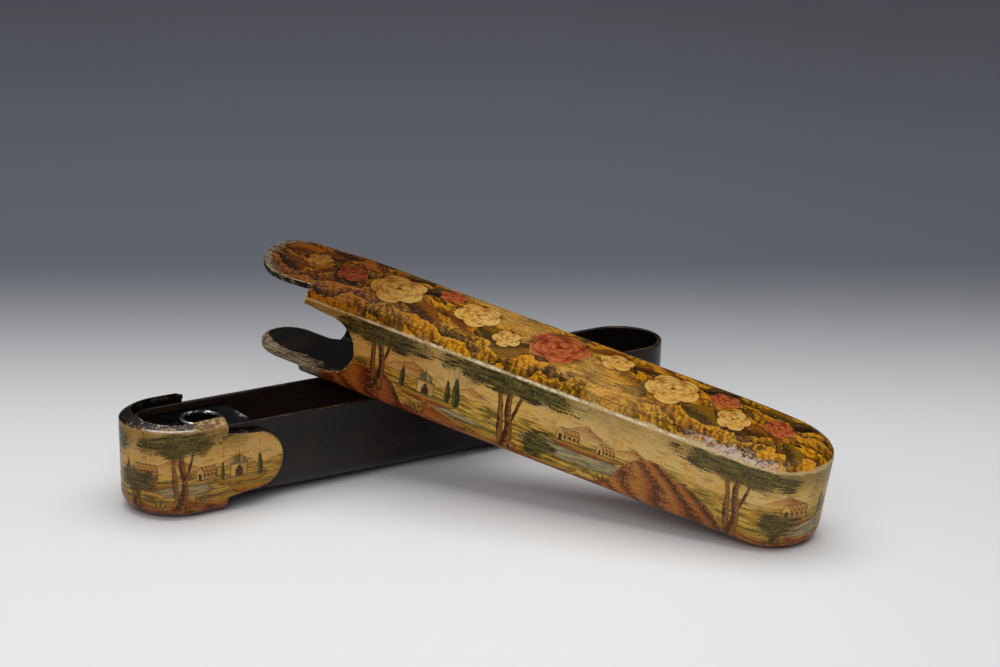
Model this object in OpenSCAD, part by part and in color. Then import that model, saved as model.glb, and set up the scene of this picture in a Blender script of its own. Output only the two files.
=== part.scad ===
// Lacquered pasteboard pen box (qalamdan): a moulded outer case, the pen drawer that slides in it,
// and the metal inkwell that stands in the drawer. The box lies open, as it is put out on a desk:
// the drawer on the table, and the empty case across it, leaning on the drawer's rim.

/* [Shell section] */
// Outer width of the closed box, at the crease between side and top
shell_w = 40; // [36:0.5:48]
// Height of that crease over the flat underside
crease_h = 33; // [30:0.5:40]
// Radius of the rounded lower edges
bottom_r = 6.5; // [5.5:0.1:7]
// How far each side wall leans in towards the underside
side_lean = 0.5; // [0.1:0.1:0.8]
// Radius of the domed top beside the crease
dome_r = 12; // [10:0.5:14]
// Radius of the domed top along its crown
crown_r = 80; // [60:5:160]
// Steepness of the domed top at the crease, in degrees
crease_slope = 50; // [40:1:56]
// Thickness of the side walls and round ends
side_t = 3.3; // [2.8:0.1:4.2]
// Thickness of the domed top
top_t = 2.2; // [1.6:0.1:2.6]
// Thickness of the underside
bottom_t = 2.4; // [1.8:0.1:3.2]

/* [Lengths] */
// Length of the closed box
closed_l = 233; // [210:1:260]
// Length of the drawer's head, up to its shoulders
head_l = 31.5; // [28:0.5:36]
// Room behind the drawer's tail when the box is closed
tail_gap = 1.9; // [1:0.1:4]

/* [Scalloped cut between head and case] */
// Width of the saw cut
kerf = 0.4; // [0.3:0.05:0.8]
// Length of the case's two tongues, past its shoulders
tongue_l = 25; // [18:0.1:25.5]
// Width of the top tongue
top_tongue_w = 31; // [26:0.5:32]
// Radius of the top tongue's front corners
top_tongue_r = 13; // [6:0.5:13]
// Width of the bottom tongue, which ends in a half round
bottom_tongue_w = 24; // [18:0.5:24.4]
// Radius of the round side lobes of the head
lobe_r = 10.8; // [8:0.1:12]
// Height of the middle of the lobes over the underside
lobe_h = 18.1; // [17:0.1:20]
// Reach of the lobes past the head's shoulders
lobe_reach = 22.2; // [16:0.1:26]
// How much deeper the lobes are at their roots, on the lower side
lobe_flare = 1.6; // [0.2:0.1:2]
// Radius in the corners where the lobes meet the shoulders
root_r = 1.2; // [0.6:0.1:1.6]

/* [Drawer] */
// Clearance between the tray's sides and the case
slide_gap = 0.4; // [0.3:0.05:0.6]
// Clearance under the tray
floor_gap = 0.5; // [0.3:0.05:0.7]
// Thickness of the tray's walls
tray_t = 1.8; // [1.4:0.1:2.2]
// Thickness of the tray's floor
tray_floor_t = 2; // [1.4:0.1:2.6]
// Radius of the tray's rounded lower edges
tray_r = 6.5; // [5.5:0.1:7.5]
// Depth of the tray's rim below the crease
rim_drop = 1.3; // [0.8:0.1:3]
// Layer of glue between the tray and its head
glue_t = 0.05; // [0.03:0.01:0.1]

/* [Inkwell] */
// Clearance round the inkwell in the tray
well_gap = 0.35; // [0.3:0.05:0.6]
// Clearance at the inkwell's front, so that it lifts out past the head
lift_gap = 0.45; // [0.3:0.05:0.8]
// Distance of the inkwell's back from the front of the head
well_back = 47; // [43:0.5:56]
// Thickness of the inkwell's sheet metal
well_t = 0.8; // [0.6:0.05:1.2]
// Radius of the inkwell's rounded lower edges
well_r = 4.6; // [4.2:0.1:5.2]
// Depth of the inkwell's top below the tray's rim
well_drop = 2.4; // [1.8:0.1:4]
// Radius of the round mouth
mouth_r = 6.1; // [4:0.1:6.5]
// Distance of the mouth's centre from the front of the head
mouth_x = 30.6; // [26:0.1:32]
// Radius of the bead round the mouth
bead_r = 1; // [0.6:0.05:1.1]
// Depth of the collar's neck below the inkwell's top
neck_h = 2.5; // [1.5:0.1:4]
// Solder gap between the collar and the inkwell's top
solder_t = 0.05; // [0.03:0.01:0.1]

/* [Lying open] */
// Turn between the drawer and the case across it, seen from above, in degrees
lay_turn = 120.4; // [110:0.2:130]
// Place along the drawer where the case crosses its near rim, from the front of the head
cross_x = 109.7; // [90:0.1:130]
// Place along the case where it crosses that rim, from the case's closed end
cross_u = 162.3; // [150:0.1:175]
// Gap left between the case and the rim that it leans on
lay_gap = 0.3; // [0.25:0.05:0.6]
// Place of the crossing from the middle of the ground that the open box covers, across and back
cross_at = [-43.36, -12.02]; // [-80:0.01:80]

/* [Hidden] */
$fn = 96;
far = 1000;
half_w = shell_w / 2;

// Domed top: the centre of its side arcs, and the centre of its crown
dome_y = half_w - dome_r * sin(crease_slope);
dome_z = crease_h - dome_r * cos(crease_slope);
crown_z = dome_z - sqrt(pow(crown_r - dome_r, 2) - pow(dome_y, 2));
dome_h = crown_z + crown_r - crease_h;

// Inside of the case, and the tray that runs in it
case_half = half_w - side_t;
tray_half = case_half - slide_gap;
tray_z = bottom_t + floor_gap;
rim_z = crease_h - rim_drop;
case_corner_r = bottom_r - bottom_t;
drawer_l = closed_l - side_t - tail_gap;
tail_x = drawer_l - tray_half;

// Inkwell
well_half = tray_half - tray_t - well_gap;
well_x = head_l - tongue_l - kerf + lift_gap + well_half;
well_z = tray_z + tray_floor_t + well_gap;
well_top = rim_z - well_drop;
wall_top = well_top - well_t;
neck_r = mouth_r + well_t;

// The drawer stands on its head and on its tail, so it tips by this angle
tail_cx = drawer_l - side_lean - tray_r - head_l;
tail_cz = tray_z + tray_r;
tip = acos(tray_r / norm([tail_cx, tail_cz])) - atan2(tail_cx, tail_cz);

// The case leans at the angle that brings the edge of its closed end down to the table
rim_up = rim_z * cos(tip) - (cross_x - head_l) * sin(tip);
edge_r = half_w - side_lean - bottom_r;
function end_height(lean) =
    let (up = cos(lean) * cos(tip))
    let (slope = sin(lay_turn) * sin(lean) * cos(tip) - cos(lay_turn) * sin(tip))
    rim_up + (lay_gap + bottom_r) * up - (cross_u - half_w) * slope
    - edge_r * sqrt(1 - up * up) - bottom_r;
function solve_lean(low, high, steps) =
    let (middle = (low + high) / 2)
    steps == 0 ? middle
    : end_height(middle) > 0 ? solve_lean(middle, high, steps - 1)
    : solve_lean(low, middle, steps - 1);
lean = solve_lean(2, 40, 40);

// Section of a trough: leaning sides, rounded lower edges, straight above the crease
module trough_section(half, base, corner, top) {
    foot = half - side_lean;
    polygon([[-foot, base + corner], [foot, base + corner], [half, crease_h], [half, top],
             [-half, top], [-half, crease_h]]);
    for (side = [-1, 1])
        translate([side * (foot - corner), base + corner]) circle(corner);
    translate([corner - foot, base]) square([2 * (foot - corner), 2 * corner]);
}

// Section of a tray or well that ends below the crease
module low_section(half, base, corner, top) {
    intersection() {
        trough_section(half, base, corner, crease_h + dome_h);
        translate([-far / 2, base - 1]) square([far, top - base + 1]);
    }
}

// Section under the domed top, which lies the given depth inside the outer one
module dome_section(depth) {
    spread = 1.2 * crown_r / (crown_r - dome_r);
    crown_up = crown_z + spread * (dome_z - crown_z);
    for (side = [-1, 1])
        translate([side * dome_y, dome_z]) circle(dome_r - depth);
    intersection() {
        translate([0, crown_z]) circle(crown_r - depth, $fn = 4 * $fn);
        polygon([[-dome_y, dome_z], [dome_y, dome_z], [spread * dome_y, crown_up], [-spread * dome_y, crown_up]]);
    }
    translate([-far / 2, -1]) square([far, crease_h + 1]);
}

module outer_section() {
    intersection() {
        trough_section(half_w, 0, bottom_r, crease_h + dome_h + 1);
        dome_section(0);
    }
}

// Wall of the shell round a hollow of the given half width, floor height and lower edges
module wall_section(half, base, corner) {
    difference() {
        outer_section();
        intersection() {
            trough_section(half, base, corner, crease_h + dome_h);
            dome_section(top_t);
        }
    }
}

// Runs a section along X, and turns it about its middle at the round ends
module run(x0, x1) {
    translate([x0, 0, 0]) rotate([90, 0, 90]) linear_extrude(x1 - x0) children();
}
module round_end(x, turn) {
    translate([x, 0, 0]) rotate([0, 0, turn]) rotate_extrude(angle = 180)
        intersection() {
            children();
            translate([0, -far / 2]) square([far, far]);
        }
}
module front_end(x) {
    round_end(x, 90) children();
}
module tail_end(x) {
    round_end(x, -90) children();
}

// Outline of the head from the side: shoulders and one lobe with rounded roots
module head_side(grow) {
    lobe_x = head_l + lobe_reach - lobe_r;
    top = lobe_h + lobe_r + grow;
    foot = lobe_h - lobe_r - lobe_flare - grow;
    shoulder = head_l + grow;
    translate([-far, -far / 2]) square([far + shoulder, far]);
    intersection() {
        translate([lobe_x, lobe_h]) circle(lobe_r + grow);
        translate([lobe_x, 0]) square([far, far]);
    }
    polygon([[shoulder - 1, top], [lobe_x, top], [lobe_x, foot + lobe_flare], [shoulder, foot], [shoulder - 1, foot]]);
    root_fillet(shoulder, top, 1, root_r - grow);
    root_fillet(shoulder, foot, -1, root_r - grow);
}
module root_fillet(x, z, up, r) {
    difference() {
        translate([x - 1, z - (up > 0 ? 1 : r)]) square([r + 1, r + 1]);
        translate([x + r, z + up * r]) circle(r);
    }
}

// Outlines of the tongues from above, which run from the case towards the head's front
module top_tongue(grow) {
    tip_x = head_l - tongue_l - grow;
    half = top_tongue_w / 2 + grow;
    corner = top_tongue_r + grow;
    for (side = [-1, 1])
        translate([tip_x + corner, side * (half - corner)]) circle(corner);
    translate([tip_x, corner - half]) square([far, 2 * (half - corner)]);
    translate([tip_x + corner, -half]) square([far, 2 * half]);
}
module bottom_tongue(grow) {
    half = bottom_tongue_w / 2 + grow;
    middle_x = head_l - tongue_l + bottom_tongue_w / 2;
    translate([middle_x, 0]) circle(half);
    translate([middle_x, -half]) square([far, 2 * half]);
}

// Cuts along the side outline of the head, and along the two tongues
module side_cut() {
    translate([0, far / 2, 0]) rotate([90, 0, 0]) linear_extrude(far) children();
}
module tongue_cut(grow) {
    translate([0, 0, crease_h / 2]) linear_extrude(far) top_tongue(grow);
    translate([0, 0, crease_h / 2 - far]) linear_extrude(far) bottom_tongue(grow);
}

// Places of the two bodies on the table
module lay_drawer() {
    translate([cross_at.x, cross_at.y, 0]) rotate([0, 0, 180 - lay_turn])
        translate([head_l - cross_x, tray_half, 0]) rotate([0, tip, 0]) translate([-head_l, 0, 0]) children();
}
module lay_case() {
    lay_drawer() translate([cross_x, -tray_half, rim_z]) rotate([lean, 0, 0]) rotate([0, 0, lay_turn])
        translate([closed_l - cross_u, 0, lay_gap]) rotate([0, 0, 180]) children();
}

module case() {
    color("goldenrod") lay_case() difference() {
        union() {
            front_end(half_w) case_wall();
            run(half_w, closed_l - half_w) case_wall();
            tail_end(closed_l - half_w) case_wall();
        }
        difference() {
            side_cut() head_side(kerf);
            tongue_cut(0);
        }
    }
}

module case_wall() {
    wall_section(case_half, bottom_t, case_corner_r);
}

module drawer_head() {
    color("peru") lay_drawer() difference() {
        union() {
            front_end(half_w) head_wall();
            run(half_w, head_l + 2 * lobe_reach) head_wall();
        }
        side_cut() difference() {
            translate([0, -far / 2]) square([far, far]);
            head_side(0);
        }
        tongue_cut(kerf);
    }
}
module head_wall() {
    wall_section(tray_half + glue_t, tray_z - glue_t, tray_r);
}

module drawer_tray() {
    color("#15120f") lay_drawer() {
        front_end(half_w) tray_wall();
        run(half_w, tail_x) tray_wall();
        tail_end(tail_x) tray_wall();
    }
}
module tray_wall() {
    difference() {
        low_section(tray_half, tray_z, tray_r, rim_z);
        trough_section(tray_half - tray_t, tray_z + tray_floor_t, tray_r - tray_t, crease_h + dome_h);
    }
}

module inkwell_body() {
    color("dimgray") lay_drawer() {
        front_end(well_x) well_wall();
        run(well_x, well_back) well_wall();
        run(well_back - well_t, well_back) low_section(well_half, well_z, well_r, wall_top);
    }
}
module well_wall() {
    difference() {
        low_section(well_half, well_z, well_r, wall_top);
        trough_section(well_half - well_t, well_z + well_t, well_r - well_t, crease_h + dome_h);
    }
}

module inkwell_top() {
    color("darkslategray") lay_drawer() translate([0, 0, wall_top]) linear_extrude(well_t)
        difference() {
            union() {
                translate([well_x, 0]) circle(well_half);
                translate([well_x, -well_half]) square([well_back - well_x, 2 * well_half]);
            }
            translate([mouth_x, 0]) circle(neck_r + solder_t);
        }
}

module inkwell_collar() {
    color("silver") lay_drawer() translate([mouth_x, 0, well_top]) rotate_extrude()
        union() {
            intersection() {
                translate([mouth_r + bead_r, bead_r / 2]) circle(bead_r);
                translate([mouth_r, 0]) square([far, far]);
            }
            translate([mouth_r, -neck_h]) square([neck_r - mouth_r, neck_h + bead_r / 2]);
        }
}

case();
drawer_tray();
drawer_head();
inkwell_body();
inkwell_top();
inkwell_collar();
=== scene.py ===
"""Looks of the lacquered pasteboard pen box, built round its packed CAD frame."""

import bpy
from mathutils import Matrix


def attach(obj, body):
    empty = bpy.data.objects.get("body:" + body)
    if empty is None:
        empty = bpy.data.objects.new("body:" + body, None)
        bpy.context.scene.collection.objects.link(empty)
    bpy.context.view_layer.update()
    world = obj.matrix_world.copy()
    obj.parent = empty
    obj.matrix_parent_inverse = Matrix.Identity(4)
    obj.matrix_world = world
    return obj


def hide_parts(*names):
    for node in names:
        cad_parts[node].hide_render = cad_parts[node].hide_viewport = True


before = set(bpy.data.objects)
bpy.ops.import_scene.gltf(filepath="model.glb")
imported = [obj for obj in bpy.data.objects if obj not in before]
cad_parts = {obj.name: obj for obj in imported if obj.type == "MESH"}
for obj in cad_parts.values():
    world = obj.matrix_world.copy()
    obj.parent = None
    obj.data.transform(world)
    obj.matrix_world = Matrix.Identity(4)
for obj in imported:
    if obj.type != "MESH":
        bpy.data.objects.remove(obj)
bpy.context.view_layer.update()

import inspect
import math

import bmesh
import bpy
import numpy as np
from mathutils import Vector

bl_info = {
    "name": "Lacquered Pen Box",
    "version": (1, 0, 0),
    "blender": (4, 5, 0),
    "location": "View3D > Sidebar > Pen Box",
    "description": "Builds the painted case, the drawer and the inkwell of a lacquered pasteboard pen box",
    "category": "Add Mesh",
}

MM = 0.001


def length(name, millimetres, description):
    """A length property whose default is given in millimetres."""
    return bpy.props.FloatProperty(name=name, description=description, default=millimetres * MM,
                                   min=0.0, precision=5, unit="LENGTH")


def angle(name, degrees, description):
    """An angle property whose default is given in degrees."""
    return bpy.props.FloatProperty(name=name, description=description, default=math.radians(degrees),
                                   subtype="ANGLE")


def colour(name, code, description):
    """A colour property whose default is a six-digit screen colour, kept as linear light."""
    return bpy.props.FloatVectorProperty(name=name, description=description, subtype="COLOR", size=3,
                                         min=0.0, max=1.0, default=linear(code)[:3])


def linear(code):
    """Linear RGBA of a six-digit screen colour, by the sRGB curve."""
    channels = [int(code[i:i + 2], 16) / 255 for i in (0, 2, 4)]
    return tuple(c / 12.92 if c <= 0.04045 else ((c + 0.055) / 1.055) ** 2.4 for c in channels) + (1.0,)


class PenBoxSizes(bpy.types.PropertyGroup):
    """Sizes of the closed box, of the cut between head and case, of the drawer and of the inkwell."""
    shell_w: length("Width", 40, "Outer width at the crease between side and top")
    crease_h: length("Crease height", 33, "Height of the crease over the underside")
    bottom_r: length("Lower edge radius", 6.5, "Radius of the rounded lower edges")
    side_lean: length("Side lean", 0.5, "How far each side leans in towards the underside")
    dome_r: length("Shoulder radius", 12, "Radius of the domed top beside the crease")
    crown_r: length("Crown radius", 80, "Radius of the domed top along its crown")
    side_t: length("Side thickness", 3.3, "Thickness of the side walls")
    top_t: length("Top thickness", 2.2, "Thickness of the domed top")
    bottom_t: length("Underside thickness", 2.4, "Thickness of the underside")
    closed_l: length("Closed length", 233, "Length of the closed box")
    head_l: length("Head length", 31.5, "Length of the head, up to its shoulders")
    kerf: length("Saw cut", 0.4, "Width of the cut between head and case")
    tongue_l: length("Tongue length", 24.7, "Length of the bottom tongue past the shoulders")
    top_tongue_l: length("Top tongue length", 25.8, "Length of the top tongue past the shoulders")
    top_tongue_w: length("Top tongue width", 31, "Width of the top tongue")
    top_tongue_r: length("Top tongue corners", 13, "Radius of the top tongue's corners")
    bottom_tongue_w: length("Bottom tongue width", 24, "Width of the bottom tongue")
    lobe_r: length("Lobe radius", 10.8, "Radius of the side lobes of the head")
    lobe_h: length("Lobe height", 18.1, "Height of the middle of the lobes")
    lobe_reach: length("Lobe reach", 22.2, "Reach of the lobes past the shoulders")
    lobe_flare: length("Lobe flare", 1.6, "How much deeper the lobes are at their roots")
    lobe_rise: length("Lobe rise", 1.2, "How much higher the lobes are at their roots")
    tray_z: length("Tray underside", 2.9, "Height of the tray's underside in the closed box")
    tray_half: length("Tray half width", 16.3, "Half of the tray's outer width")
    tray_t: length("Tray wall", 1.8, "Thickness of the tray's walls")
    tray_floor_t: length("Tray floor", 2, "Thickness of the tray's floor")
    tray_r: length("Tray edge radius", 6.5, "Radius of the tray's lower edges")
    rim_z: length("Tray rim", 31.7, "Height of the tray's rim in the closed box")
    drawer_l: length("Drawer length", 227.8, "Length of the drawer with its head")
    glue_t: length("Glue", 0.05, "Layer of glue between tray and head")
    well_half: length("Well half width", 14.15, "Half of the inkwell's outer width")
    well_x: length("Well front", 20.7,
                   "Distance of the middle of the well's round front from the head's front")
    well_back: length("Well back", 47, "Distance of the inkwell's back from the head's front")
    well_top: length("Well top", 29.3, "Height of the inkwell's top in the closed box")
    well_t: length("Well sheet", 0.8, "Thickness of the inkwell's sheet metal")
    mouth_x: length("Mouth place", 30.6, "Distance of the mouth from the head's front")
    mouth_r: length("Mouth radius", 6.1, "Radius of the round mouth")
    bead_r: length("Bead radius", 1, "Radius of the bead round the mouth")
    neck_h: length("Neck depth", 2.5, "Depth of the collar's neck")
    soft_edge: length("Soft edge", 0.3, "Rounding of the cut edges")
    cross_x: length("Crossing on the drawer", 109.7, "Where the case crosses the drawer's near rim")
    cross_u: length("Crossing on the case", 162.3, "Where the case lies on that rim, from its closed end")
    cross_left: length("Crossing, left", 43.36, "How far left of the middle the crossing lies")
    cross_near: length("Crossing, near", 12.02, "How far before the middle the crossing lies")
    lay_gap: length("Resting gap", 0.3, "Gap between the case and the rim that it leans on")
    lay_turn: angle("Crossing turn", 120.4, "Turn between drawer and case")
    crease_slope: angle("Crease slope", 50, "Steepness of the top at the crease")


class PenBoxColours(bpy.types.PropertyGroup):
    """Colours of the paints, lacquers and metals."""
    black: colour("Black lacquer", "130e0b", "Black lacquer of the tray and the linings")
    board: colour("Pasteboard", "9c866a", "Raw pasteboard of the cut edges")
    gesso: colour("Worn ground", "dcc38c", "Cream ground that shows where the paint is worn")
    sky: colour("Sky", "e3c98a", "Sky of the landscapes")
    cloud: colour("Clouds", "8f8760", "Clouds of the landscapes")
    leaf: colour("Foliage", "65632f", "Trees and grass")
    field: colour("Fields", "b4963a", "Fields and banks")
    varnish: colour("Varnish", "f6d9a2", "Amber glaze of the old varnish")
    rock: colour("Rocks", "96522a", "Rocks and red earth")
    amber: colour("Gilded ground", "c6a236", "Ground of the domed top")
    floor: colour("Floor", "fbfbfb", "Paper floor")
    # The backdrop grey is partly painted falloff of the light behind the box
    backdrop: colour("Backdrop", "686c74", "Grey of the backdrop")


# Sizes that are angles
ANGLES = ("lay_turn", "crease_slope")

# The case's lean is sought between these angles, in degrees, by halving them so many times
LEANS, HALVINGS = (2, 40), 40


class Box:
    """The sizes in millimetres, and the lines that follow from them."""

    def __init__(self, sizes):
        for name in PenBoxSizes.__annotations__:
            value = getattr(sizes, name)
            setattr(self, name, value if name in ANGLES else value / MM)
        self.half_w = self.shell_w / 2
        self.dome_y = self.half_w - self.dome_r * math.sin(self.crease_slope)
        self.dome_z = self.crease_h - self.dome_r * math.cos(self.crease_slope)
        self.crown_z = self.dome_z - math.sqrt((self.crown_r - self.dome_r) ** 2 - self.dome_y ** 2)
        self.case_half = self.half_w - self.side_t
        self.end_x = self.closed_l - self.half_w
        self.tail_x = self.drawer_l - self.tray_half
        self.lobe_x = self.head_l + self.lobe_reach - self.lobe_r
        self.tip_x = self.head_l - self.tongue_l
        self.top_tip = self.head_l - self.top_tongue_l
        self.find_places()

    def find_places(self):
        """The drawer tips until its tail touches the table, and the case leans until its closed end does:
        the lean is found by halving the interval in which the end's height changes its sign."""
        cx = self.drawer_l - self.side_lean - self.tray_r - self.head_l
        cz = self.tray_z + self.tray_r
        tip = math.acos(self.tray_r / math.hypot(cx, cz)) - math.atan2(cx, cz)
        rim_up = self.rim_z * math.cos(tip) - (self.cross_x - self.head_l) * math.sin(tip)
        edge = self.half_w - self.side_lean - self.bottom_r
        turn = self.lay_turn

        def end_height(lean):
            up = math.cos(lean) * math.cos(tip)
            slope = math.sin(turn) * math.sin(lean) * math.cos(tip) - math.cos(turn) * math.sin(tip)
            return (rim_up + (self.lay_gap + self.bottom_r) * up - (self.cross_u - self.half_w) * slope
                    - edge * math.sqrt(1 - up * up) - self.bottom_r)

        low, high = map(math.radians, LEANS)
        for _ in range(HALVINGS):
            middle = (low + high) / 2
            low, high = (middle, high) if end_height(middle) > 0 else (low, middle)
        lean = (low + high) / 2
        self.drawer = (shift(-self.cross_left, -self.cross_near, 0) @ turn_z(math.pi - turn)
                       @ shift(self.head_l - self.cross_x, self.tray_half, 0) @ turn_y(tip)
                       @ shift(-self.head_l, 0, 0))
        self.case = (self.drawer @ shift(self.cross_x, -self.tray_half, self.rim_z) @ turn_x(lean)
                     @ turn_z(turn) @ shift(self.closed_l - self.cross_u, 0, self.lay_gap) @ turn_z(math.pi))


def shift(x, y, z):
    """Four by four matrix of a move."""
    m = np.eye(4)
    m[:3, 3] = x, y, z
    return m


def turn_about(a, b, angle):
    """Four by four matrix of a turn that carries axis a towards axis b."""
    m = np.eye(4)
    m[a, a] = m[b, b] = math.cos(angle)
    m[b, a], m[a, b] = math.sin(angle), -math.sin(angle)
    return m


def turn_x(angle):
    """Turn about the x axis, from y towards z."""
    return turn_about(1, 2, angle)


def turn_y(angle):
    """Turn about the y axis, from z towards x."""
    return turn_about(2, 0, angle)


def turn_z(angle):
    """Turn about the z axis, from x towards y."""
    return turn_about(0, 1, angle)


class Section:
    """Half section of a trough: a flat underside, a round lower edge, a leaning side up to the crease and a
    domed top. The lower part is measured by the length s along it from the middle of the underside."""

    def __init__(self, box, half, base, corner, depth):
        self.box, self.half, self.base, self.corner, self.depth = box, half, base, corner, depth
        self.flat = half - box.side_lean - corner
        self.arc = corner * math.pi / 2
        self.knee = base + corner

    def lower(self, s):
        """Width and height at the length s: flat, then a quarter circle, then the leaning side."""
        e = np.clip((s - self.flat) / self.corner, 0, math.pi / 2)
        up = np.maximum(s - self.flat - self.arc, 0)
        lean = self.box.side_lean * up / (self.box.crease_h - self.knee)
        v = np.minimum(s, self.flat) + self.corner * np.sin(e) + lean
        return v, self.knee - self.corner * np.cos(e) + up

    def s_of_v(self, v):
        """Length at the width v, on the flat or on the quarter circle."""
        e = np.arcsin(np.clip((v - self.flat) / self.corner, 0, 1))
        return np.minimum(v, self.flat) + self.corner * e

    def s_of_z(self, z):
        """Length at the height z, on the quarter circle or on the side."""
        e = np.arccos(np.clip((self.knee - z) / self.corner, 0, 1))
        return self.flat + self.corner * e + np.maximum(z - self.knee, 0)

    def dome(self, v):
        """Height of the domed top at the width v: the crown's arc, and past its end the shoulder's arc."""
        b = self.box
        crown, side = b.crown_r - self.depth, b.dome_r - self.depth
        edge = b.dome_y * crown / (b.crown_r - b.dome_r)
        v = np.abs(v)
        on_crown = b.crown_z + np.sqrt(np.maximum(crown ** 2 - v ** 2, 0))
        on_side = b.dome_z + np.sqrt(np.maximum(side ** 2 - (v - b.dome_y) ** 2, 0))
        return np.where(v < edge, on_crown, on_side)

    def upper(self, v):
        """Width and height of the domed top at the width v."""
        return v, self.dome(v)


def outer_section(box):
    """Section of the outside of case and head."""
    return Section(box, box.half_w, 0.0, box.bottom_r, 0.0)


def steps(a, b, n):
    """n + 1 even steps from a to b."""
    return np.linspace(a, b, n + 1)


def blend_rows(a, b, n):
    """Rows of points from the curve a to the curve b, n + 1 of them. Either curve may be one number."""
    t = steps(0, 1, n)[:, None]
    return a * (1 - t) + b * t


def same_rows(row, count):
    """The same row so many times."""
    return np.broadcast_to(row, (count, len(row)))


def chain(pieces):
    """One line or grid from pieces that follow one another. Each piece has its measures as arrays or single
    numbers."""
    return [np.concatenate(c) for c in zip(*(np.broadcast_arrays(*piece) for piece in pieces))]


def ramp(value, start, end):
    """A smooth step from 0 at start to 1 at end."""
    t = np.clip((value - start) / (end - start), 0, 1)
    return t * t * (3 - 2 * t)


class Sheets:
    """Grids of points in the closed box's frame, gathered into one mesh. Each grid has a paint number, and
    values for the attribute wrap: length round the sides, height, and distance from the crease or, on a cut
    edge or the tray, the share across it. rim is the line of the cut edge, if there is one."""

    def __init__(self):
        self.points, self.wraps, self.faces, self.paints, self.count = [], [], [], [], 0
        self.rim = None

    def add(self, x, y, z, paint, wrap=None):
        """Adds a grid. x, y and z are arrays that broadcast to rows by columns."""
        x, y, z = np.broadcast_arrays(x, y, z)
        rows, cols = x.shape
        self.points.append(np.stack([x, y, z], -1).reshape(-1, 3))
        wrap = (x, z, 0.0) if wrap is None else wrap
        self.wraps.append(np.stack(np.broadcast_arrays(*wrap, x)[:3], -1).reshape(-1, 3))
        index = self.count + np.arange(rows * cols).reshape(rows, cols)
        quads = np.stack([index[:-1, :-1], index[1:, :-1], index[1:, 1:], index[:-1, 1:]], -1).reshape(-1, 4)
        self.faces.append(quads)
        self.paints.append(np.full(len(quads), paint))
        self.count += rows * cols

    def both_sides(self, x, v, z, paint, wrap=None):
        """Adds a grid on the near side, at -v, and its mirror image on the far side."""
        for y in (-v, v):
            self.add(x, y, z, paint, wrap)


# Step along a cut edge, and how close points are merged and short edges dissolved, in millimetres
RIM_STEP, MERGE, DISSOLVE = 0.5, 0.004, 0.0005

# The slow waves over a piece: length in millimetres, share of the depth and seed
WAVES = ((23, 0.6, 3), (9, 0.4, 5))

# Chips along the crease and the cut edges: reach and size in millimetres, seed, and depth against the
# waviness
CHIP_REACH, CHIP_SIZE, CHIP_SEED, CHIP_DEPTH = 1.3, 1.9, 9, 1.5

# Points whose distance from a cut edge is measured at a time
BATCH = 2000


def rim_line(x, v, z):
    """Points a short step apart along a cut edge, on both sides of the box."""
    line = np.stack([x, v, z], 1)
    far = np.concatenate([[0], np.cumsum(np.linalg.norm(np.diff(line, axis=0), axis=1))])
    at = np.arange(0, far[-1], RIM_STEP)
    line = np.stack([np.interp(at, far, c) for c in line.T], 1)
    return np.concatenate([line, line * (1, -1, 1)])


# Large numbers that scatter the noise's lattice, its seeds and its values, and the largest value
PRIMES, SEED_PRIME, MIX, LARGEST = (73856093, 19349663, 83492791), 2654435761, 1274126177, 0x7FFFFFFF


def value_noise(p, seed):
    """Smooth noise from -1 to 1 at the points p: hashed lattice values, blended by a cubic step on each
    axis."""
    cell = np.floor(p).astype(np.int64)
    f = ramp(p - cell, 0, 1)
    total = np.zeros(len(p))
    for corner in range(8):
        bits = np.array([corner & 1, corner >> 1 & 1, corner >> 2 & 1])
        h = np.bitwise_xor.reduce((cell + bits) * PRIMES, axis=1) + seed * SEED_PRIME
        h = (h ^ h >> 13) * MIX & LARGEST
        weight = np.prod(np.where(bits, f, 1 - f), axis=1)
        total += weight * (h / (LARGEST // 2) - 1)
    return total


def nearest(points, line):
    """Distance of each point from the nearest point of a line."""
    square = (points ** 2).sum(1)[:, None] + (line ** 2).sum(1)[None] - 2 * points @ line.T
    return np.sqrt(np.maximum(square.min(1), 0))


def write(values, field, array, kind=np.float32):
    """Sets one field of all the items of a mesh's collection."""
    values.foreach_set(field, array.astype(kind).ravel())


def read(values, field, count):
    """Vectors of a mesh's collection, a row for each item."""
    flat = np.empty(count * 3, np.float32)
    values.foreach_get(field, flat)
    return flat.reshape(-1, 3)


def mesh_of(name, sheets):
    """A mesh of the gathered grids, with doubles merged and normals turned outwards."""
    mesh = bpy.data.meshes.new(name)
    points, faces = np.concatenate(sheets.points), np.concatenate(sheets.faces)
    mesh.vertices.add(len(points))
    write(mesh.vertices, "co", points)
    mesh.loops.add(faces.size)
    write(mesh.loops, "vertex_index", faces, np.int32)
    mesh.polygons.add(len(faces))
    write(mesh.polygons, "loop_start", np.arange(0, faces.size, 4), np.int32)
    write(mesh.polygons, "material_index", np.concatenate(sheets.paints), np.int32)
    mesh.update(calc_edges=True)
    write(mesh.attributes.new("wrap", "FLOAT_VECTOR", "POINT").data, "vector", np.concatenate(sheets.wraps))
    work = bmesh.new()
    work.from_mesh(mesh)
    bmesh.ops.remove_doubles(work, verts=work.verts, dist=MERGE)
    bmesh.ops.dissolve_degenerate(work, edges=work.edges, dist=DISSOLVE)
    bmesh.ops.recalc_face_normals(work, faces=work.faces)
    work.to_mesh(mesh)
    work.free()
    mesh.update()
    return mesh


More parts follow.
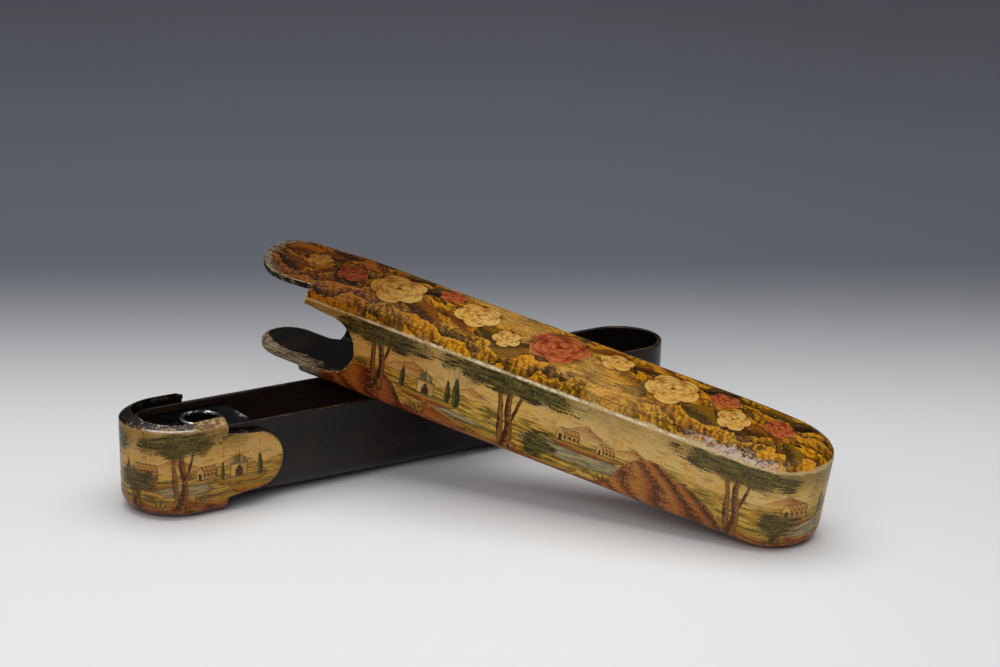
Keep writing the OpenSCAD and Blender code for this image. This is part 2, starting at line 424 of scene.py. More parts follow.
def press_in(mesh, co, waviness):
    """How far each point is pressed in along its normal: half the waviness, more or less by slow waves, and
    chips that fade out away from the crease or the outer corner of a cut."""
    wave = sum(share * value_noise(co / size, seed) for size, share, seed in WAVES)
    away = read(mesh.attributes["wrap"].data, "vector", len(co))[:, 2]
    chip = np.clip(1 - away / CHIP_REACH, 0, 1) * np.maximum(value_noise(co / CHIP_SIZE, CHIP_SEED), 0)
    depth = waviness * (0.5 + 0.5 * wave + chip * CHIP_DEPTH)
    return read(mesh.vertex_normals, "vector", len(co)) * depth[:, None]


def new_object(name, data):
    """A new object in the scene's own collection."""
    thing = bpy.data.objects.new(name, data)
    bpy.context.scene.collection.objects.link(thing)
    return thing


def make_piece(name, sheets, place, materials, body, node, slot, waviness=0.0):
    """Makes one mesh object of the gathered grids, pressed in by waves of the given depth and carried to its
    place on the table. It rides on a body and takes the place of a node of the CAD frame."""
    mesh = mesh_of(name, sheets)
    co = read(mesh.vertices, "co", len(mesh.vertices)).astype(float)
    write(mesh.attributes.new("own", "FLOAT_VECTOR", "POINT").data, "vector", co)
    if sheets.rim is not None:
        away = [nearest(part, sheets.rim) for part in np.array_split(co, len(co) // BATCH + 1)]
        write(mesh.attributes.new("rim", "FLOAT", "POINT").data, "value", np.concatenate(away))
    if waviness:
        co -= press_in(mesh, co, waviness)
    write(mesh.vertices, "co", (co @ place[:3, :3].T + place[:3, 3]) * MM)
    mesh.shade_smooth()
    mesh.update()
    for material in materials:
        mesh.materials.append(material)
    piece = new_object(name, mesh)
    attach(piece, body)
    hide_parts(node)


# Rows of points along the case's two skins
OUTER_ROWS, INNER_ROWS = 170, 60

# Paint numbers, in the order of a piece's materials
SIDE, TOP, UNDER, LINING, EDGE = range(5)

# How much the outer crease is worn back, and how far the inner skin's top starts inside its side
WORN_CREASE, INNER_STEP = 0.09, 0.02

# The belt round the closed end starts this far past the cut-outs
PAST_LOBE = 3


class CaseShell:
    """One skin of the case, outer or inner: its columns round the section, and its panels at the mouth. b is
    how far the skin stays back from the cut."""
    # Steps from the bottom tongue up to the cut-out, and from the cut-out up to the crease
    LOW, HIGH = 12, 4
    # Power that sets the top's steps closer beside the crease
    CLOSER = 1.25

    def __init__(self, box, section, b):
        self.box, self.section = box, section
        self.shoulder = box.head_l + box.kerf + b
        self.low_half = box.bottom_tongue_w / 2 - b
        self.top_half = box.top_tongue_w / 2 - b
        self.lobe_r = box.lobe_r + box.kerf + b
        self.lobe_top = box.lobe_h + self.lobe_r
        self.lobe_foot = box.lobe_h - self.lobe_r
        self.theta = np.radians(steps(-90, 90, 28))
        self.v_low = self.low_half * np.sin(np.radians(steps(0, 90, 11)))
        corner = box.top_tongue_r - b
        flat = self.top_half - corner
        self.v_top = np.concatenate([flat + corner * np.sin(np.radians(steps(90, 0, 9))),
                                     steps(flat, 0, 5)[1:]])
        self.corner, self.flat = corner, flat

    def low_columns(self, foot):
        """Width and height from the bottom tongue's side up to the lobe's foot, one row for each foot
        height."""
        a = self.section.s_of_v(self.low_half)
        t = steps(0, 1, self.LOW)[None]
        return self.section.lower(a + (self.section.s_of_z(np.atleast_1d(foot))[:, None] - a) * t)

    def lobe_columns(self):
        """Width and height along the round end of the cut-out."""
        z = self.box.lobe_h + self.lobe_r * np.sin(self.theta)
        return self.section.lower(self.section.s_of_z(z))

    def high_columns(self, top):
        """From the cut-out's upper side over the crease to the top tongue's side, one row for each height of
        that upper side. The crease itself is a little worn."""
        top = np.atleast_1d(top)[:, None]
        t = steps(0, 1, self.HIGH)[None]
        v, z = self.section.lower(self.section.s_of_z(top + (self.box.crease_h - top) * t))
        outer = self.section.half
        if self.section.depth == 0:
            v[:, -1] -= WORN_CREASE
        else:
            outer -= INNER_STEP
        v2, z2 = self.section.upper(outer + (self.top_half - outer) * steps(0, 1, 9)[1:] ** self.CLOSER)
        return [np.concatenate([a, same_rows(c, len(top))], 1) for a, c in ((v, v2), (z, z2))]

    def columns(self):
        """Width and height of the whole half section, from the middle of the underside to the middle of the
        top."""
        strips = [(self.v_low, np.full_like(self.v_low, self.section.base))]
        for strip in (self.low_columns(self.lobe_foot), self.lobe_columns(), self.high_columns(self.lobe_top),
                      self.section.upper(self.v_top)):
            strips.append([np.atleast_2d(c)[0, 1:] for c in strip])
        return [np.concatenate(c) for c in zip(*strips)]

    def tip_top(self):
        """Front line of the top tongue: straight in the middle, quarter circles at the corners."""
        past = np.maximum(self.v_top - self.flat, 0)
        return self.box.top_tip + self.box.top_tongue_r - np.sqrt(np.maximum(self.corner ** 2 - past ** 2, 0))

    def tip_low(self):
        """Front line of the bottom tongue: a half circle."""
        middle = self.box.tip_x + self.box.bottom_tongue_w / 2
        return middle - np.sqrt(np.maximum(self.low_half ** 2 - self.v_low ** 2, 0))

    def loop(self):
        """The mouth's edge on this skin, from the middle of the top tongue to the middle of the bottom
        one."""
        b, sec = self.box, self.section
        run = self.run()
        v, z = sec.upper(self.v_top[::-1])
        pieces = [(self.tip_top()[::-1], v, z)]
        pieces.append((steps(b.top_tip + b.top_tongue_r, self.shoulder, 14)[1:], v[-1], z[-1]))
        v, z = self.high_columns(self.roof_line(self.shoulder))
        pieces.append((self.shoulder, v[0, -2::-1], z[0, -2::-1]))
        pieces.append((run[1:], *sec.lower(sec.s_of_z(self.roof_line(run[1:])))))
        pieces.append([c[-2::-1] for c in (self.lobe_line(), *self.lobe_columns())])
        pieces.append((run[-2::-1], *sec.lower(sec.s_of_z(self.foot_line(run[-2::-1])))))
        v, z = self.low_columns(self.foot_line(self.shoulder))
        pieces.append((self.shoulder, v[0, -2::-1], z[0, -2::-1]))
        side = steps(self.shoulder, b.tip_x + b.bottom_tongue_w / 2, 12)[1:]
        pieces.append((side, self.low_half, sec.lower(self.low_half)[1]))
        pieces.append([c[-2::-1] for c in (self.tip_low(), self.v_low, sec.lower(self.v_low)[1])])
        return chain(pieces)

    def run(self):
        """Places from the shoulder to the middle of the cut-out's round end."""
        return steps(self.shoulder, self.box.lobe_x, 8)

    def lobe_line(self):
        """Places along the round end of the cut-out."""
        return self.box.lobe_x + self.lobe_r * np.cos(self.theta)

    def to_root(self, x):
        """0 at the middle of the cut-out's round end, 1 at the shoulder."""
        b = self.box
        return np.clip((b.lobe_x - x) / (b.lobe_x - b.head_l - b.kerf), 0, 1)

    def foot_line(self, x):
        """Height of the cut-out's lower side, which drops by the flare towards the shoulder."""
        return self.lobe_foot - self.box.lobe_flare * self.to_root(x)

    def roof_line(self, x):
        """Height of the cut-out's upper side, which rises towards the shoulder."""
        return self.lobe_top + self.box.lobe_rise * self.to_root(x)

    def add_to(self, sheets, rows, paints):
        """Adds the panels at the mouth and the belt round the closed end. paints names the paint of the
        underside, the sides and the top."""
        b, sec = self.box, self.section
        start = b.lobe_x + self.lobe_r + PAST_LOBE
        run = np.concatenate([self.run(), steps(b.lobe_x, start, 12)[1:]])[:, None]
        under, side, top = paints
        for x in (blend_rows(self.tip_low(), self.shoulder, 14), run):
            sheets.both_sides(x, self.v_low, sec.lower(self.v_low)[1], under)
        sheets.both_sides(run, *self.low_columns(self.foot_line(run[:, 0])), side)
        sheets.both_sides(blend_rows(self.lobe_line(), start, 12), *self.lobe_columns(), side)
        v, z = self.high_columns(self.roof_line(run[:, 0]))
        k = self.HIGH + 1
        sheets.both_sides(run, v[:, :k], z[:, :k], side)
        sheets.both_sides(run, v[:, k - 1:], z[:, k - 1:], top)
        for x in (blend_rows(self.tip_top(), self.shoulder, 16), run):
            sheets.both_sides(x, *sec.upper(self.v_top), top)
        v, z = self.columns()
        tongue = len(self.v_low) - 1
        crease = tongue + self.LOW + len(self.theta) - 1 + self.HIGH
        x = steps(start, b.end_x, rows)[:, None]
        angle = steps(0, math.pi, max(24, rows // 3))[:, None]
        for a, c, paint in ((0, tongue, under), (tongue, crease, side), (crease, len(v) - 1, top)):
            w, h = v[a:c + 1], z[a:c + 1]
            sheets.both_sides(x, w, h, paint)
            sheets.add(b.end_x + w * np.sin(angle), -w * np.cos(angle), h, paint)


def along_case(box, x, y):
    """Length round the case's sides, from the near shoulder round the closed end to the far one."""
    straight = box.end_x - box.head_l
    past = np.arctan2(x - box.end_x, -y)
    near = np.where(y <= 0, x - box.head_l, 2 * straight + math.pi * box.half_w - (x - box.head_l))
    return np.where(x > box.end_x, straight + past * box.half_w, near)


def along_head(box, x, y):
    """Length round the head from the middle of its front, less than 0 on the near side."""
    bend = np.arctan2(y, box.half_w - x) * box.half_w
    straight = np.sign(y) * (math.pi / 2 * box.half_w + x - box.half_w)
    return np.where(x < box.half_w, bend, straight)


def set_wraps(sheets, box, along, past):
    """Sets each point's wrap: length round the sides, height, and distance from the crease, which on the
    domed top is measured from above. past gives how far x lies past the middle of the round end."""
    for p, wrap in zip(sheets.points, sheets.wraps):
        x, y, z = p.T
        away = np.where(z > box.crease_h, box.half_w - np.hypot(past(x), y), box.crease_h - z)
        wrap[:] = np.stack([along(box, x, y), z, away], 1)


# Rounding of a cut edge: its depth in millimetres, the least thickness that counts, and the most as a share
# of it
CUT_ROUND, CUT_LEAST, CUT_SHARE = 0.35, 0.4, 0.45


def edge_band(sheets, outer_back, outer, inner, inner_back):
    """The cut edge between two skins. Across it run a rounded corner, the flat of the cut and another rounded
    corner: each corner is a quadratic arc from the skin, past the cut's corner, to the flat of the cut."""
    o_back, o, i, i_back = map(np.asarray, (outer_back, outer, inner, inner_back))
    deep = np.minimum(CUT_ROUND / np.maximum(np.linalg.norm(i - o, axis=0), CUT_LEAST), CUT_SHARE)
    down, up = o + (i - o) * deep, i + (o - i) * deep
    t = steps(0, 1, 3)
    rows = [(1 - k) ** 2 * o_back + 2 * k * (1 - k) * o + k * k * down for k in t]
    rows += [down * (1 - k) + up * k for k in steps(0, 1, 4)[1:-1]]
    rows += [(1 - k) ** 2 * i_back + 2 * k * (1 - k) * i + k * k * up for k in t[::-1]]
    x, v, z = np.array(rows).transpose(1, 0, 2)
    sheets.both_sides(x, v, z, EDGE, (x, z, steps(0, 1, len(rows) - 1)[:, None]))


def mouth_lines(shell, box, outer, inner):
    """Lines across a cut edge: the outer skin's border, the cut's two corners and the inner skin's border."""
    soft = box.soft_edge
    return [shell(box, section, b).loop()
            for section, b in ((outer, soft), (outer, 0), (inner, 0), (inner, soft))]


# Heights between which the camber of the top and the fall of the tongues set in
CAMBER_HEIGHTS, FALL_HEIGHTS = (29, 32), (25, 28)

# The case's top: how much it is raised in the middle and how much lower it is at the mouth and at the closed
# end, with the places between which it falls
RAISED, MOUTH_SAG, END_SAG = 1.15, 1.9, 2.1
MOUTH_RUN, END_RUN = (42, 20), (195, 227)

# The head's top: how much it is lowered, and how much more on the far side at the shoulder
HEAD_SAG, SHOULDER_SAG = 1.4, 0.9

# Where this changes: from the far side to the near one, along the near side, and up to the shoulder
NEAR_WIDTHS, NEAR_RUN, SHOULDER_RUN, SHOULDER_HEIGHTS = (6, -6), (14, 30), (28.5, 31.5), (32, 34)


def settle(box, points, camber):
    """Height of the points when the domed top is raised or lowered by the camber, in proportion to the dome's
    height over the crease, so that the crease stays straight."""
    dome = outer_section(box).dome
    x, y, z = points.T
    ahead, past = np.maximum(box.half_w - x, 0), np.maximum(x - box.end_x, 0)
    out = np.minimum(np.hypot(ahead + past, y), box.half_w)
    rise = np.maximum(dome(out) - box.crease_h, 0) / (dome(0.0) - box.crease_h)
    return z + camber * rise * ramp(z, *CAMBER_HEIGHTS)


def case_camber(x):
    """The case's top is highest in the middle and falls towards both ends."""
    return RAISED - MOUTH_SAG * ramp(x, *MOUTH_RUN) - END_SAG * ramp(x, *END_RUN)


def fall(box, points):
    """How far a tongue's top lies lower before the round front's middle than behind it: half of what the dome
    would fall if it were turned round the front."""
    dome = outer_section(box).dome
    x, y, z = points.T
    out = np.minimum(np.hypot(np.maximum(box.half_w - x, 0), y), box.half_w)
    return 0.5 * (dome(np.abs(y)) - dome(out)) * ramp(z, *FALL_HEIGHTS)


# The lower tongue's torn edge: how much thinner it is there, and over what width
TORN_DEPTH, TORN_WIDTH = 1.15, 3.2

# It sets in between a place behind the shoulders and one before them, on points this close to the inside
TORN_BEHIND, TORN_BEFORE, TORN_NEAR = 1, 4, 0.2


def feather(box, x, v, z):
    """Height on the inside of the lower tongue, which thins out towards its torn edges."""
    middle = box.tip_x + box.bottom_tongue_w / 2
    inside = box.bottom_tongue_w / 2 - np.hypot(np.minimum(x - middle, 0), v)
    on_tongue = ramp(x, box.head_l + TORN_BEHIND, box.head_l - TORN_BEFORE) * (z < box.bottom_t + TORN_NEAR)
    return z - TORN_DEPTH * ramp(inside, TORN_WIDTH, 0) * on_tongue


def case_sheets(box):
    """Both skins of the case and the cut edge between them."""
    outer = outer_section(box)
    inner = Section(box, box.case_half, box.bottom_t, box.bottom_r - box.bottom_t, box.top_t)
    sheets = Sheets()
    soft = box.soft_edge
    CaseShell(box, outer, soft).add_to(sheets, OUTER_ROWS, (UNDER, SIDE, TOP))
    skins = len(sheets.points)
    CaseShell(box, inner, soft).add_to(sheets, INNER_ROWS, (LINING, LINING, LINING))
    for p in sheets.points[skins:]:
        p[:, 2] = feather(box, *p.T)
    set_wraps(sheets, box, along_case, lambda x: np.maximum(x - box.end_x, 0))
    lines = mouth_lines(CaseShell, box, outer, inner)
    sheets.rim = rim_line(*lines[1])
    edge_band(sheets, *lines[:2], *((x, v, feather(box, x, v, z)) for x, v, z in lines[2:]))
    for p in sheets.points + [sheets.rim]:
        p[:, 2] -= fall(box, p)
        p[:, 2] = settle(box, p, case_camber(p[:, 0]))
    return sheets


# The least divisor
TINY = 1e-9


class HeadShell:
    """One skin of the drawer's head: a belt round the front between the two tongue openings, and two lobes. b
    is how far the skin stays back from the cut."""
    # Steps from the bottom opening up to the lobe, along the lobe, up to the crease and on to the top opening
    LOW, LOBE, HIGH, BAND = 8, 24, 4, 7
    # Steps that belong to the underside, and the power that sets the top's steps closer beside the crease
    FLAT, CLOSER = 4, 1.2

    def __init__(self, box, section, b):
        self.box, self.section, self.b = box, section, b
        self.shoulder = box.head_l - b
        self.lobe_r = box.lobe_r - b
        self.root = box.lobe_h - self.lobe_r - box.lobe_flare
        self.crown = box.lobe_h + self.lobe_r + box.lobe_rise
        self.low_half = box.bottom_tongue_w / 2 + box.kerf + b
        self.top_half = box.top_tongue_w / 2 + box.kerf + b
        self.theta = np.radians(steps(-90, 90, self.LOBE))
        self.x = steps(self.shoulder, box.half_w, 9)
        self.angle = steps(0, math.pi, 72)

    def low_limit(self):
        """Distance of the bottom opening's outline from the middle of the round front: its straight sides,
        and its half circle where that comes first."""
        off = self.box.half_w - (self.box.tip_x + self.box.bottom_tongue_w / 2)
        si, co = np.sin(self.angle), np.maximum(np.abs(np.cos(self.angle)), TINY)
        on_side = self.low_half / co
        on_circle = off * si + np.sqrt(np.maximum(self.low_half ** 2 - (off * co) ** 2, 0))
        return np.where(on_side * si <= off, on_side, on_circle)

    def top_limit(self):
        """Distance of the top opening's outline from the middle of the round front: its sides, its straight
        front and its round corners, each in the angles where it comes first."""
        b = self.box
        corner = b.top_tongue_r + b.kerf + self.b
        cx, cy = b.half_w - (b.top_tip + b.top_tongue_r), self.top_half - corner
        si, co = [np.maximum(np.abs(wave(self.angle)), TINY) for wave in (np.sin, np.cos)]
        on_side, on_front = self.top_half / co, (b.half_w - b.top_tip + b.kerf + self.b) / si
        m = cx * si + cy * co
        on_corner = m + np.sqrt(np.maximum(m * m - (cx * cx + cy * cy - corner ** 2), 0))
        return np.where(on_side * si <= cx, on_side, np.where(on_front * co <= cy, on_front, on_corner))

    def belt(self, low, top):
        """Width and height of the columns, one row for each place along the belt, with the openings'
        limits."""
        sec, b = self.section, self.box
        low, top = np.atleast_1d(low)[:, None], np.atleast_1d(top)[:, None]
        start, root = sec.s_of_v(low), sec.s_of_z(np.array([self.root]))
        v1, z1 = sec.lower(start + (root - start) * steps(0, 1, self.LOW)[None])
        v2, z2 = sec.lower(sec.s_of_z(self.root_heights()))
        v3, z3 = sec.lower(sec.s_of_z(steps(self.crown, b.crease_h, self.HIGH)))
        if sec.depth == 0:
            v3[-1] -= WORN_CREASE
        v4, z4 = sec.upper(sec.half + (top - sec.half) * (steps(0, 1, self.BAND) ** self.CLOSER)[None])
        strips = ((v1, v2, v3, v4), (z1, z2, z3, z4))
        return [np.concatenate([a, same_rows(c[1:], len(low)), same_rows(d[1:], len(low)), e[:, 1:]], 1)
                for a, c, d, e in strips]

    def root_heights(self):
        """Heights of the lobe's lines where they leave the shoulder."""
        return np.interp(np.sin(self.theta), (-1, 1), (self.root, self.crown))

    def lobe(self):
        """Columns of the lobe: straight lines from the shoulder to the points of its half circle."""
        b, sec = self.box, self.section
        x = blend_rows(self.shoulder, b.lobe_x + self.lobe_r * np.cos(self.theta), 22)
        z = blend_rows(self.root_heights(), b.lobe_h + self.lobe_r * np.sin(self.theta), 22)
        return x, *sec.lower(sec.s_of_z(z))

    def add_to(self, sheets, paints):
        """Adds the belt, straight at the sides and turned round the front, and the lobes. paints names the
        paint of the underside, the sides and the top."""
        under, side, band = paints
        b = self.box
        v, z = self.belt(self.low_half, self.top_half)
        bend_v, bend_z = self.belt(self.low_limit(), self.top_limit())
        crease = self.LOW + self.LOBE + self.HIGH
        angle = self.angle[:, None]
        for a, c, paint in ((0, self.FLAT, under), (self.FLAT, crease, side), (crease, v.shape[1] - 1, band)):
            sheets.both_sides(self.x[:, None], v[:, a:c + 1], z[:, a:c + 1], paint)
            w = bend_v[:, a:c + 1]
            sheets.add(b.half_w - w * np.sin(angle), -w * np.cos(angle), bend_z[:, a:c + 1], paint)
        sheets.both_sides(*self.lobe(), side)

    def loop(self):
        """Edge of the top opening, the shoulder, the lobe and the bottom opening, on one side, from the
        middle of the front and back to it."""
        b, sec = self.box, self.section
        half = len(self.angle) // 2
        angle, limit = self.angle[half::-1], self.top_limit()[half::-1]
        pieces = [(b.half_w - limit * np.sin(angle), limit * np.cos(angle), sec.dome(limit))]
        pieces.append((self.x[-2::-1], self.top_half, sec.dome(self.top_half)))
        v, z = self.belt(self.low_half, self.top_half)
        back = slice(v.shape[1] - 2, self.LOW + self.LOBE - 1, -1)
        pieces.append((self.shoulder, v[0, back], z[0, back]))
        lobe = self.lobe()
        for edge in (np.s_[1:, -1], np.s_[-1, -2::-1], np.s_[-2::-1, 0]):
            pieces.append([c[edge] for c in lobe])
        down = slice(self.LOW - 1, None, -1)
        pieces.append((self.shoulder, v[0, down], z[0, down]))
        pieces.append((self.x[1:], self.low_half, sec.lower(sec.s_of_v(self.low_half))[1]))
        angle, limit = self.angle[1:half + 1], self.low_limit()[1:half + 1]
        pieces.append((b.half_w - limit * np.sin(angle), limit * np.cos(angle),
                       sec.lower(sec.s_of_v(limit))[1]))
        return chain(pieces)


def head_sheets(box):
    """Both skins of the head and the cut edges between them."""
    outer = outer_section(box)
    inner = Section(box, box.tray_half + box.glue_t, box.tray_z - box.glue_t, box.tray_r, box.top_t)
    sheets = Sheets()
    soft = box.soft_edge
    HeadShell(box, outer, soft).add_to(sheets, (UNDER, SIDE, TOP))
    HeadShell(box, inner, soft).add_to(sheets, (LINING, LINING, LINING))
    set_wraps(sheets, box, along_head, lambda x: np.minimum(x - box.half_w, 0))
    lines = mouth_lines(HeadShell, box, outer, inner)
    sheets.rim = rim_line(*lines[1])
    edge_band(sheets, *lines)
    for p in sheets.points + [sheets.rim]:
        x, y, z = p.T
        near = ramp(y, *NEAR_WIDTHS)
        z[:] = settle(box, p, near * (ramp(x, *NEAR_RUN) - 0.5) - HEAD_SAG)
        z -= SHOULDER_SAG * ramp(x, *SHOULDER_RUN) * ramp(z, *SHOULDER_HEIGHTS) * (1 - near)
    return sheets


# The tray's rim: height of its rounding against half its width, and the power that makes the rounding squarer
LIP, SQUARE = 0.75, 0.7

# The inkwell's top: gap round the collar, depth of the dish, and where the outer edge starts to turn down
COLLAR_GAP, DISH, TURN_IN = 0.05, 0.22, 0.25

# The turned-down edge: how far in from the outline, and how far down
TURNED = ((0.07, 0.06), (0.0, 0.3))


def tray_sheets(box):
    """The tray: one profile, from the middle of its underside over the rounded rim to the middle of its
    floor, carried round a long loop with half-circle ends."""
    outer = Section(box, box.tray_half, box.tray_z, box.tray_r, 0.0)
    inner = Section(box, box.tray_half - box.tray_t, box.tray_z + box.tray_floor_t,
                    box.tray_r - box.tray_t, 0.0)
    top = box.rim_z - box.tray_t / 2 * LIP

    def wall(section, bend):
        side = section.flat + section.arc
        return section.lower(np.concatenate([
            steps(0, section.flat, 6), section.flat + section.arc * steps(0, 1, bend)[1:],
            steps(side, section.s_of_z(top), 16)[1:]]))

    (v1, z1), (v3, z3) = wall(outer, 9), wall(inner, 8)
    e = np.radians(steps(0, 180, 10)[1:-1])
    middle, reach = (v1[-1] + v3[-1]) / 2, (v1[-1] - v3[-1]) / 2
    v2 = middle + reach * np.sign(np.cos(e)) * np.abs(np.cos(e)) ** SQUARE
    z2 = top + (box.rim_z - top) * np.sin(e) ** SQUARE
    v, z = np.concatenate([v1, v2, v3[::-1]]), np.concatenate([z1, z2, z3[::-1]])
    sheets = Sheets()
    x = steps(box.half_w, box.tail_x, 110)[:, None]
    angle = steps(0, math.pi, 48)[:, None]
    inside = np.repeat((0.0, 0.5, 1.0), (len(v1), len(v2), len(v3)))
    sheets.both_sides(x, v, z, 0, (x, z, inside))
    for end, way in ((box.half_w, -1), (box.tail_x, 1)):
        sheets.add(end + way * v * np.sin(angle), -v * np.cos(angle), z, 0, (0.0, z, inside))
    return sheets


def plate_sheets(box):
    """The inkwell's top: rays from the middle of the mouth to the outline, which is round at the front,
    straight at the sides and the back. The sheet is a little dished and its outer edge is turned down."""
    hole = box.mouth_r + box.well_t + COLLAR_GAP
    corner = math.atan2(box.well_half, box.well_back - box.mouth_x)
    a = np.concatenate([steps(-corner, corner, 30), steps(corner, 2 * math.pi - corner, 130)[1:]])
    co, si = np.cos(a), np.sin(a)
    to_back = np.where(co > TINY, (box.well_back - box.mouth_x) / np.maximum(co, TINY), np.inf)
    to_side = box.well_half / np.maximum(np.abs(si), TINY)
    ahead = box.mouth_x - box.well_x
    m = -ahead * co
    to_front = m + np.sqrt(np.maximum(m * m - ahead ** 2 + box.well_half ** 2, 0))
    reach = np.minimum(to_back, to_side)
    reach = np.where(box.mouth_x + reach * co < box.well_x, to_front, reach)
    t = steps(0, 1, 14)[:, None]
    top_r = hole + (reach - TURN_IN - hole) * t
    top_z = -DISH * np.sin(np.pi * t) ** 2
    edge = np.array(TURNED + ((0.0, box.well_t),))[:, :, None]
    rim_r, rim_z = reach - edge[:, 0], -edge[:, 1]
    under_r = hole + (reach - hole) * steps(1, 0, 6)[1:, None]
    rows = ((top_r, top_z), (rim_r, rim_z), (under_r, -box.well_t), (top_r[:1], top_z[:1]))
    r, z = chain(rows)
    sheets = Sheets()
    sheets.add(box.mouth_x + r * co, r * si, box.well_top + z, 0)
    return sheets


def collar_sheets(box):
    """The collar: a bead with a flat inner side on a short neck, turned once round the mouth."""
    e = np.radians(steps(-30, 180, 20))
    r = np.maximum(box.mouth_r + box.bead_r * (1 + np.cos(e)), box.mouth_r)
    z = box.bead_r * (0.5 + np.sin(e))
    neck = box.mouth_r + box.well_t
    r = np.concatenate([[box.mouth_r, box.mouth_r, neck, neck], r, [box.mouth_r]])
    z = np.concatenate([[-box.neck_h / 2, -box.neck_h, -box.neck_h, 0.0], z, [-box.neck_h / 2]])
    a = steps(0, 2 * math.pi, 96)[:, None]
    sheets = Sheets()
    sheets.add(box.mouth_x + r * np.cos(a), r * np.sin(a), box.well_top + z, 0)
    return sheets


def math_node(operation):
    """A method of Wire that adds one Math node."""
    return lambda wire, *others: wire.do(operation, *others)


class Wire:
    """A value in a node tree. Arithmetic with wires adds the Math nodes that work it out."""

    def __init__(self, tree, socket):
        self.tree, self.socket = tree, socket

    def do(self, operation, *others):
        """The wire and the other values through a Math node."""
        node = self.tree.nodes.new("ShaderNodeMath")
        node.operation = operation
        for plug, value in zip(node.inputs, (self,) + others):
            join(value, plug)
        return Wire(self.tree, node.outputs[0])

    __add__ = __radd__ = math_node("ADD")
    __mul__ = __rmul__ = math_node("MULTIPLY")
    __sub__, __truediv__, __abs__ = math_node("SUBTRACT"), math_node("DIVIDE"), math_node("ABSOLUTE")
    low, high, power = math_node("MINIMUM"), math_node("MAXIMUM"), math_node("POWER")
    sine, cosine, root, fraction = map(math_node, ("SINE", "COSINE", "SQRT", "FRACT"))

    def __rsub__(self, other):
        return self.do("MULTIPLY_ADD", -1.0, other)

    def __neg__(self):
        return self * -1.0

    def ramp(self, start, end):
        """A smooth step from 0 at start to 1 at end."""
        node = self.tree.nodes.new("ShaderNodeMapRange")
        node.interpolation_type = "SMOOTHSTEP"
        for plug, value in zip(node.inputs, (self, start, end)):
            join(value, plug)
        return Wire(self.tree, node.outputs[0])

    def line(self, half, soft=0.08):
        """1 within the half width of the line where the value is 0."""
        return abs(self).ramp(half + soft, half - soft)

    def inside(self, soft=0.1):
        """1 where the value, a distance from an outline, is less than 0."""
        return self.ramp(soft, -soft)


def join(value, plug):
    """Links a wire to a socket, or sets the socket's own value. A text is a six-digit screen colour."""
    if isinstance(value, Wire):
        value.tree.links.new(value.socket, plug)
    else:
        plug.default_value = linear(value) if isinstance(value, str) else value


def over(under, paint, mask):
    """A paint laid over another by a mask."""
    tree = next(w.tree for w in (mask, under, paint) if isinstance(w, Wire))
    node = tree.nodes.new("ShaderNodeMix")
    node.data_type = "RGBA"
    for plug, value in zip((node.inputs[0], node.inputs[6], node.inputs[7]), (mask, under, paint)):
        join(value, plug)
    return Wire(tree, node.outputs[2])


def glaze(under, paint, amount):
    """A clear colour over another: the two multiplied, by the given amount."""
    result = over(under, paint, amount)
    result.socket.node.blend_type = "MULTIPLY"
    return result


def parts(vector):
    """The three numbers of a vector."""
    node = vector.tree.nodes.new("ShaderNodeSeparateXYZ")
    join(vector, node.inputs[0])
    return [Wire(vector.tree, s) for s in node.outputs]


def together(x, y, z=0.0):
    """A vector of three numbers."""
    node = x.tree.nodes.new("ShaderNodeCombineXYZ")
    for plug, value in zip(node.inputs, (x, y, z)):
        join(value, plug)
    return Wire(x.tree, node.outputs[0])


def noise(vector, scale, detail=2.0, rough=0.5, colour=False):
    """Soft noise, 0 to 1, at so many waves for each millimetre."""
    node = vector.tree.nodes.new("ShaderNodeTexNoise")
    for title, value in (("Vector", vector), ("Scale", scale), ("Detail", detail), ("Roughness", rough)):
        join(value, node.inputs[title])
    return Wire(vector.tree, node.outputs[1 if colour else 0])


def cells(vector, scale, feature="F1"):
    """Scattered cells: the distance from their middles or edges, and a random colour for each."""
    node = vector.tree.nodes.new("ShaderNodeTexVoronoi")
    node.feature = feature
    join(vector, node.inputs["Vector"])
    join(scale, node.inputs["Scale"])
    return [Wire(vector.tree, s) for s in node.outputs[:2]]


def distance(p, q):
    """Distance from the middle: the root of the sum of two squares."""
    return (p * p + q * q).root()


def angle_of(p, q):
    """Angle of the direction p, q, whose tangent is q over p."""
    return q.do("ARCTAN2", p)


# Sockets that aren't plain numbers
KINDS = dict.fromkeys(("under", "light", "dark", "colour"), "NodeSocketColor")
KINDS["vector"] = "NodeSocketVector"

# Values of a painting that change from place to place
FIELDS = ("x", "y", "dabs", "strokes", "mottle", "spots")

# Share of the paint below that makes a motif wait for it
MILLIONTH = 1e-6


def effect(name, gives="colour"):
    """Turns a function of wires into a shader node group that is built once and placed with its own values.
    Its sockets are named after the function's parameters and after gives, the list of its results."""
    def wrap(build):
        takes, results = list(inspect.signature(build).parameters), gives.split()

        def new_group():
            group = bpy.data.node_groups.new(name, "ShaderNodeTree")
            for way, titles in (("INPUT", takes), ("OUTPUT", results)):
                for title in titles:
                    group.interface.new_socket(title, in_out=way,
                                               socket_type=KINDS.get(title, "NodeSocketFloat"))
            start, end = group.nodes.new("NodeGroupInput"), group.nodes.new("NodeGroupOutput")
            wires = [Wire(group, s) for s in start.outputs[:-1]]
            made = build(*(wait_for(wires) if takes[0] == "under" else wires))
            for value, plug in zip(made if isinstance(made, tuple) else (made,), end.inputs):
                join(value, plug)
            return group

        def place(tree, **values):
            group = bpy.data.node_groups.get(name) or new_group()
            node = tree.nodes.new("ShaderNodeGroup")
            node.node_tree = group
            for title, value in values.items():
                join(value, node.inputs[title])
            outs = [Wire(tree, s) for s in node.outputs]
            return outs if len(outs) > 1 else outs[0]

        place.__doc__, place.takes, place.gives = build.__doc__, takes, results
        return place
    return wrap


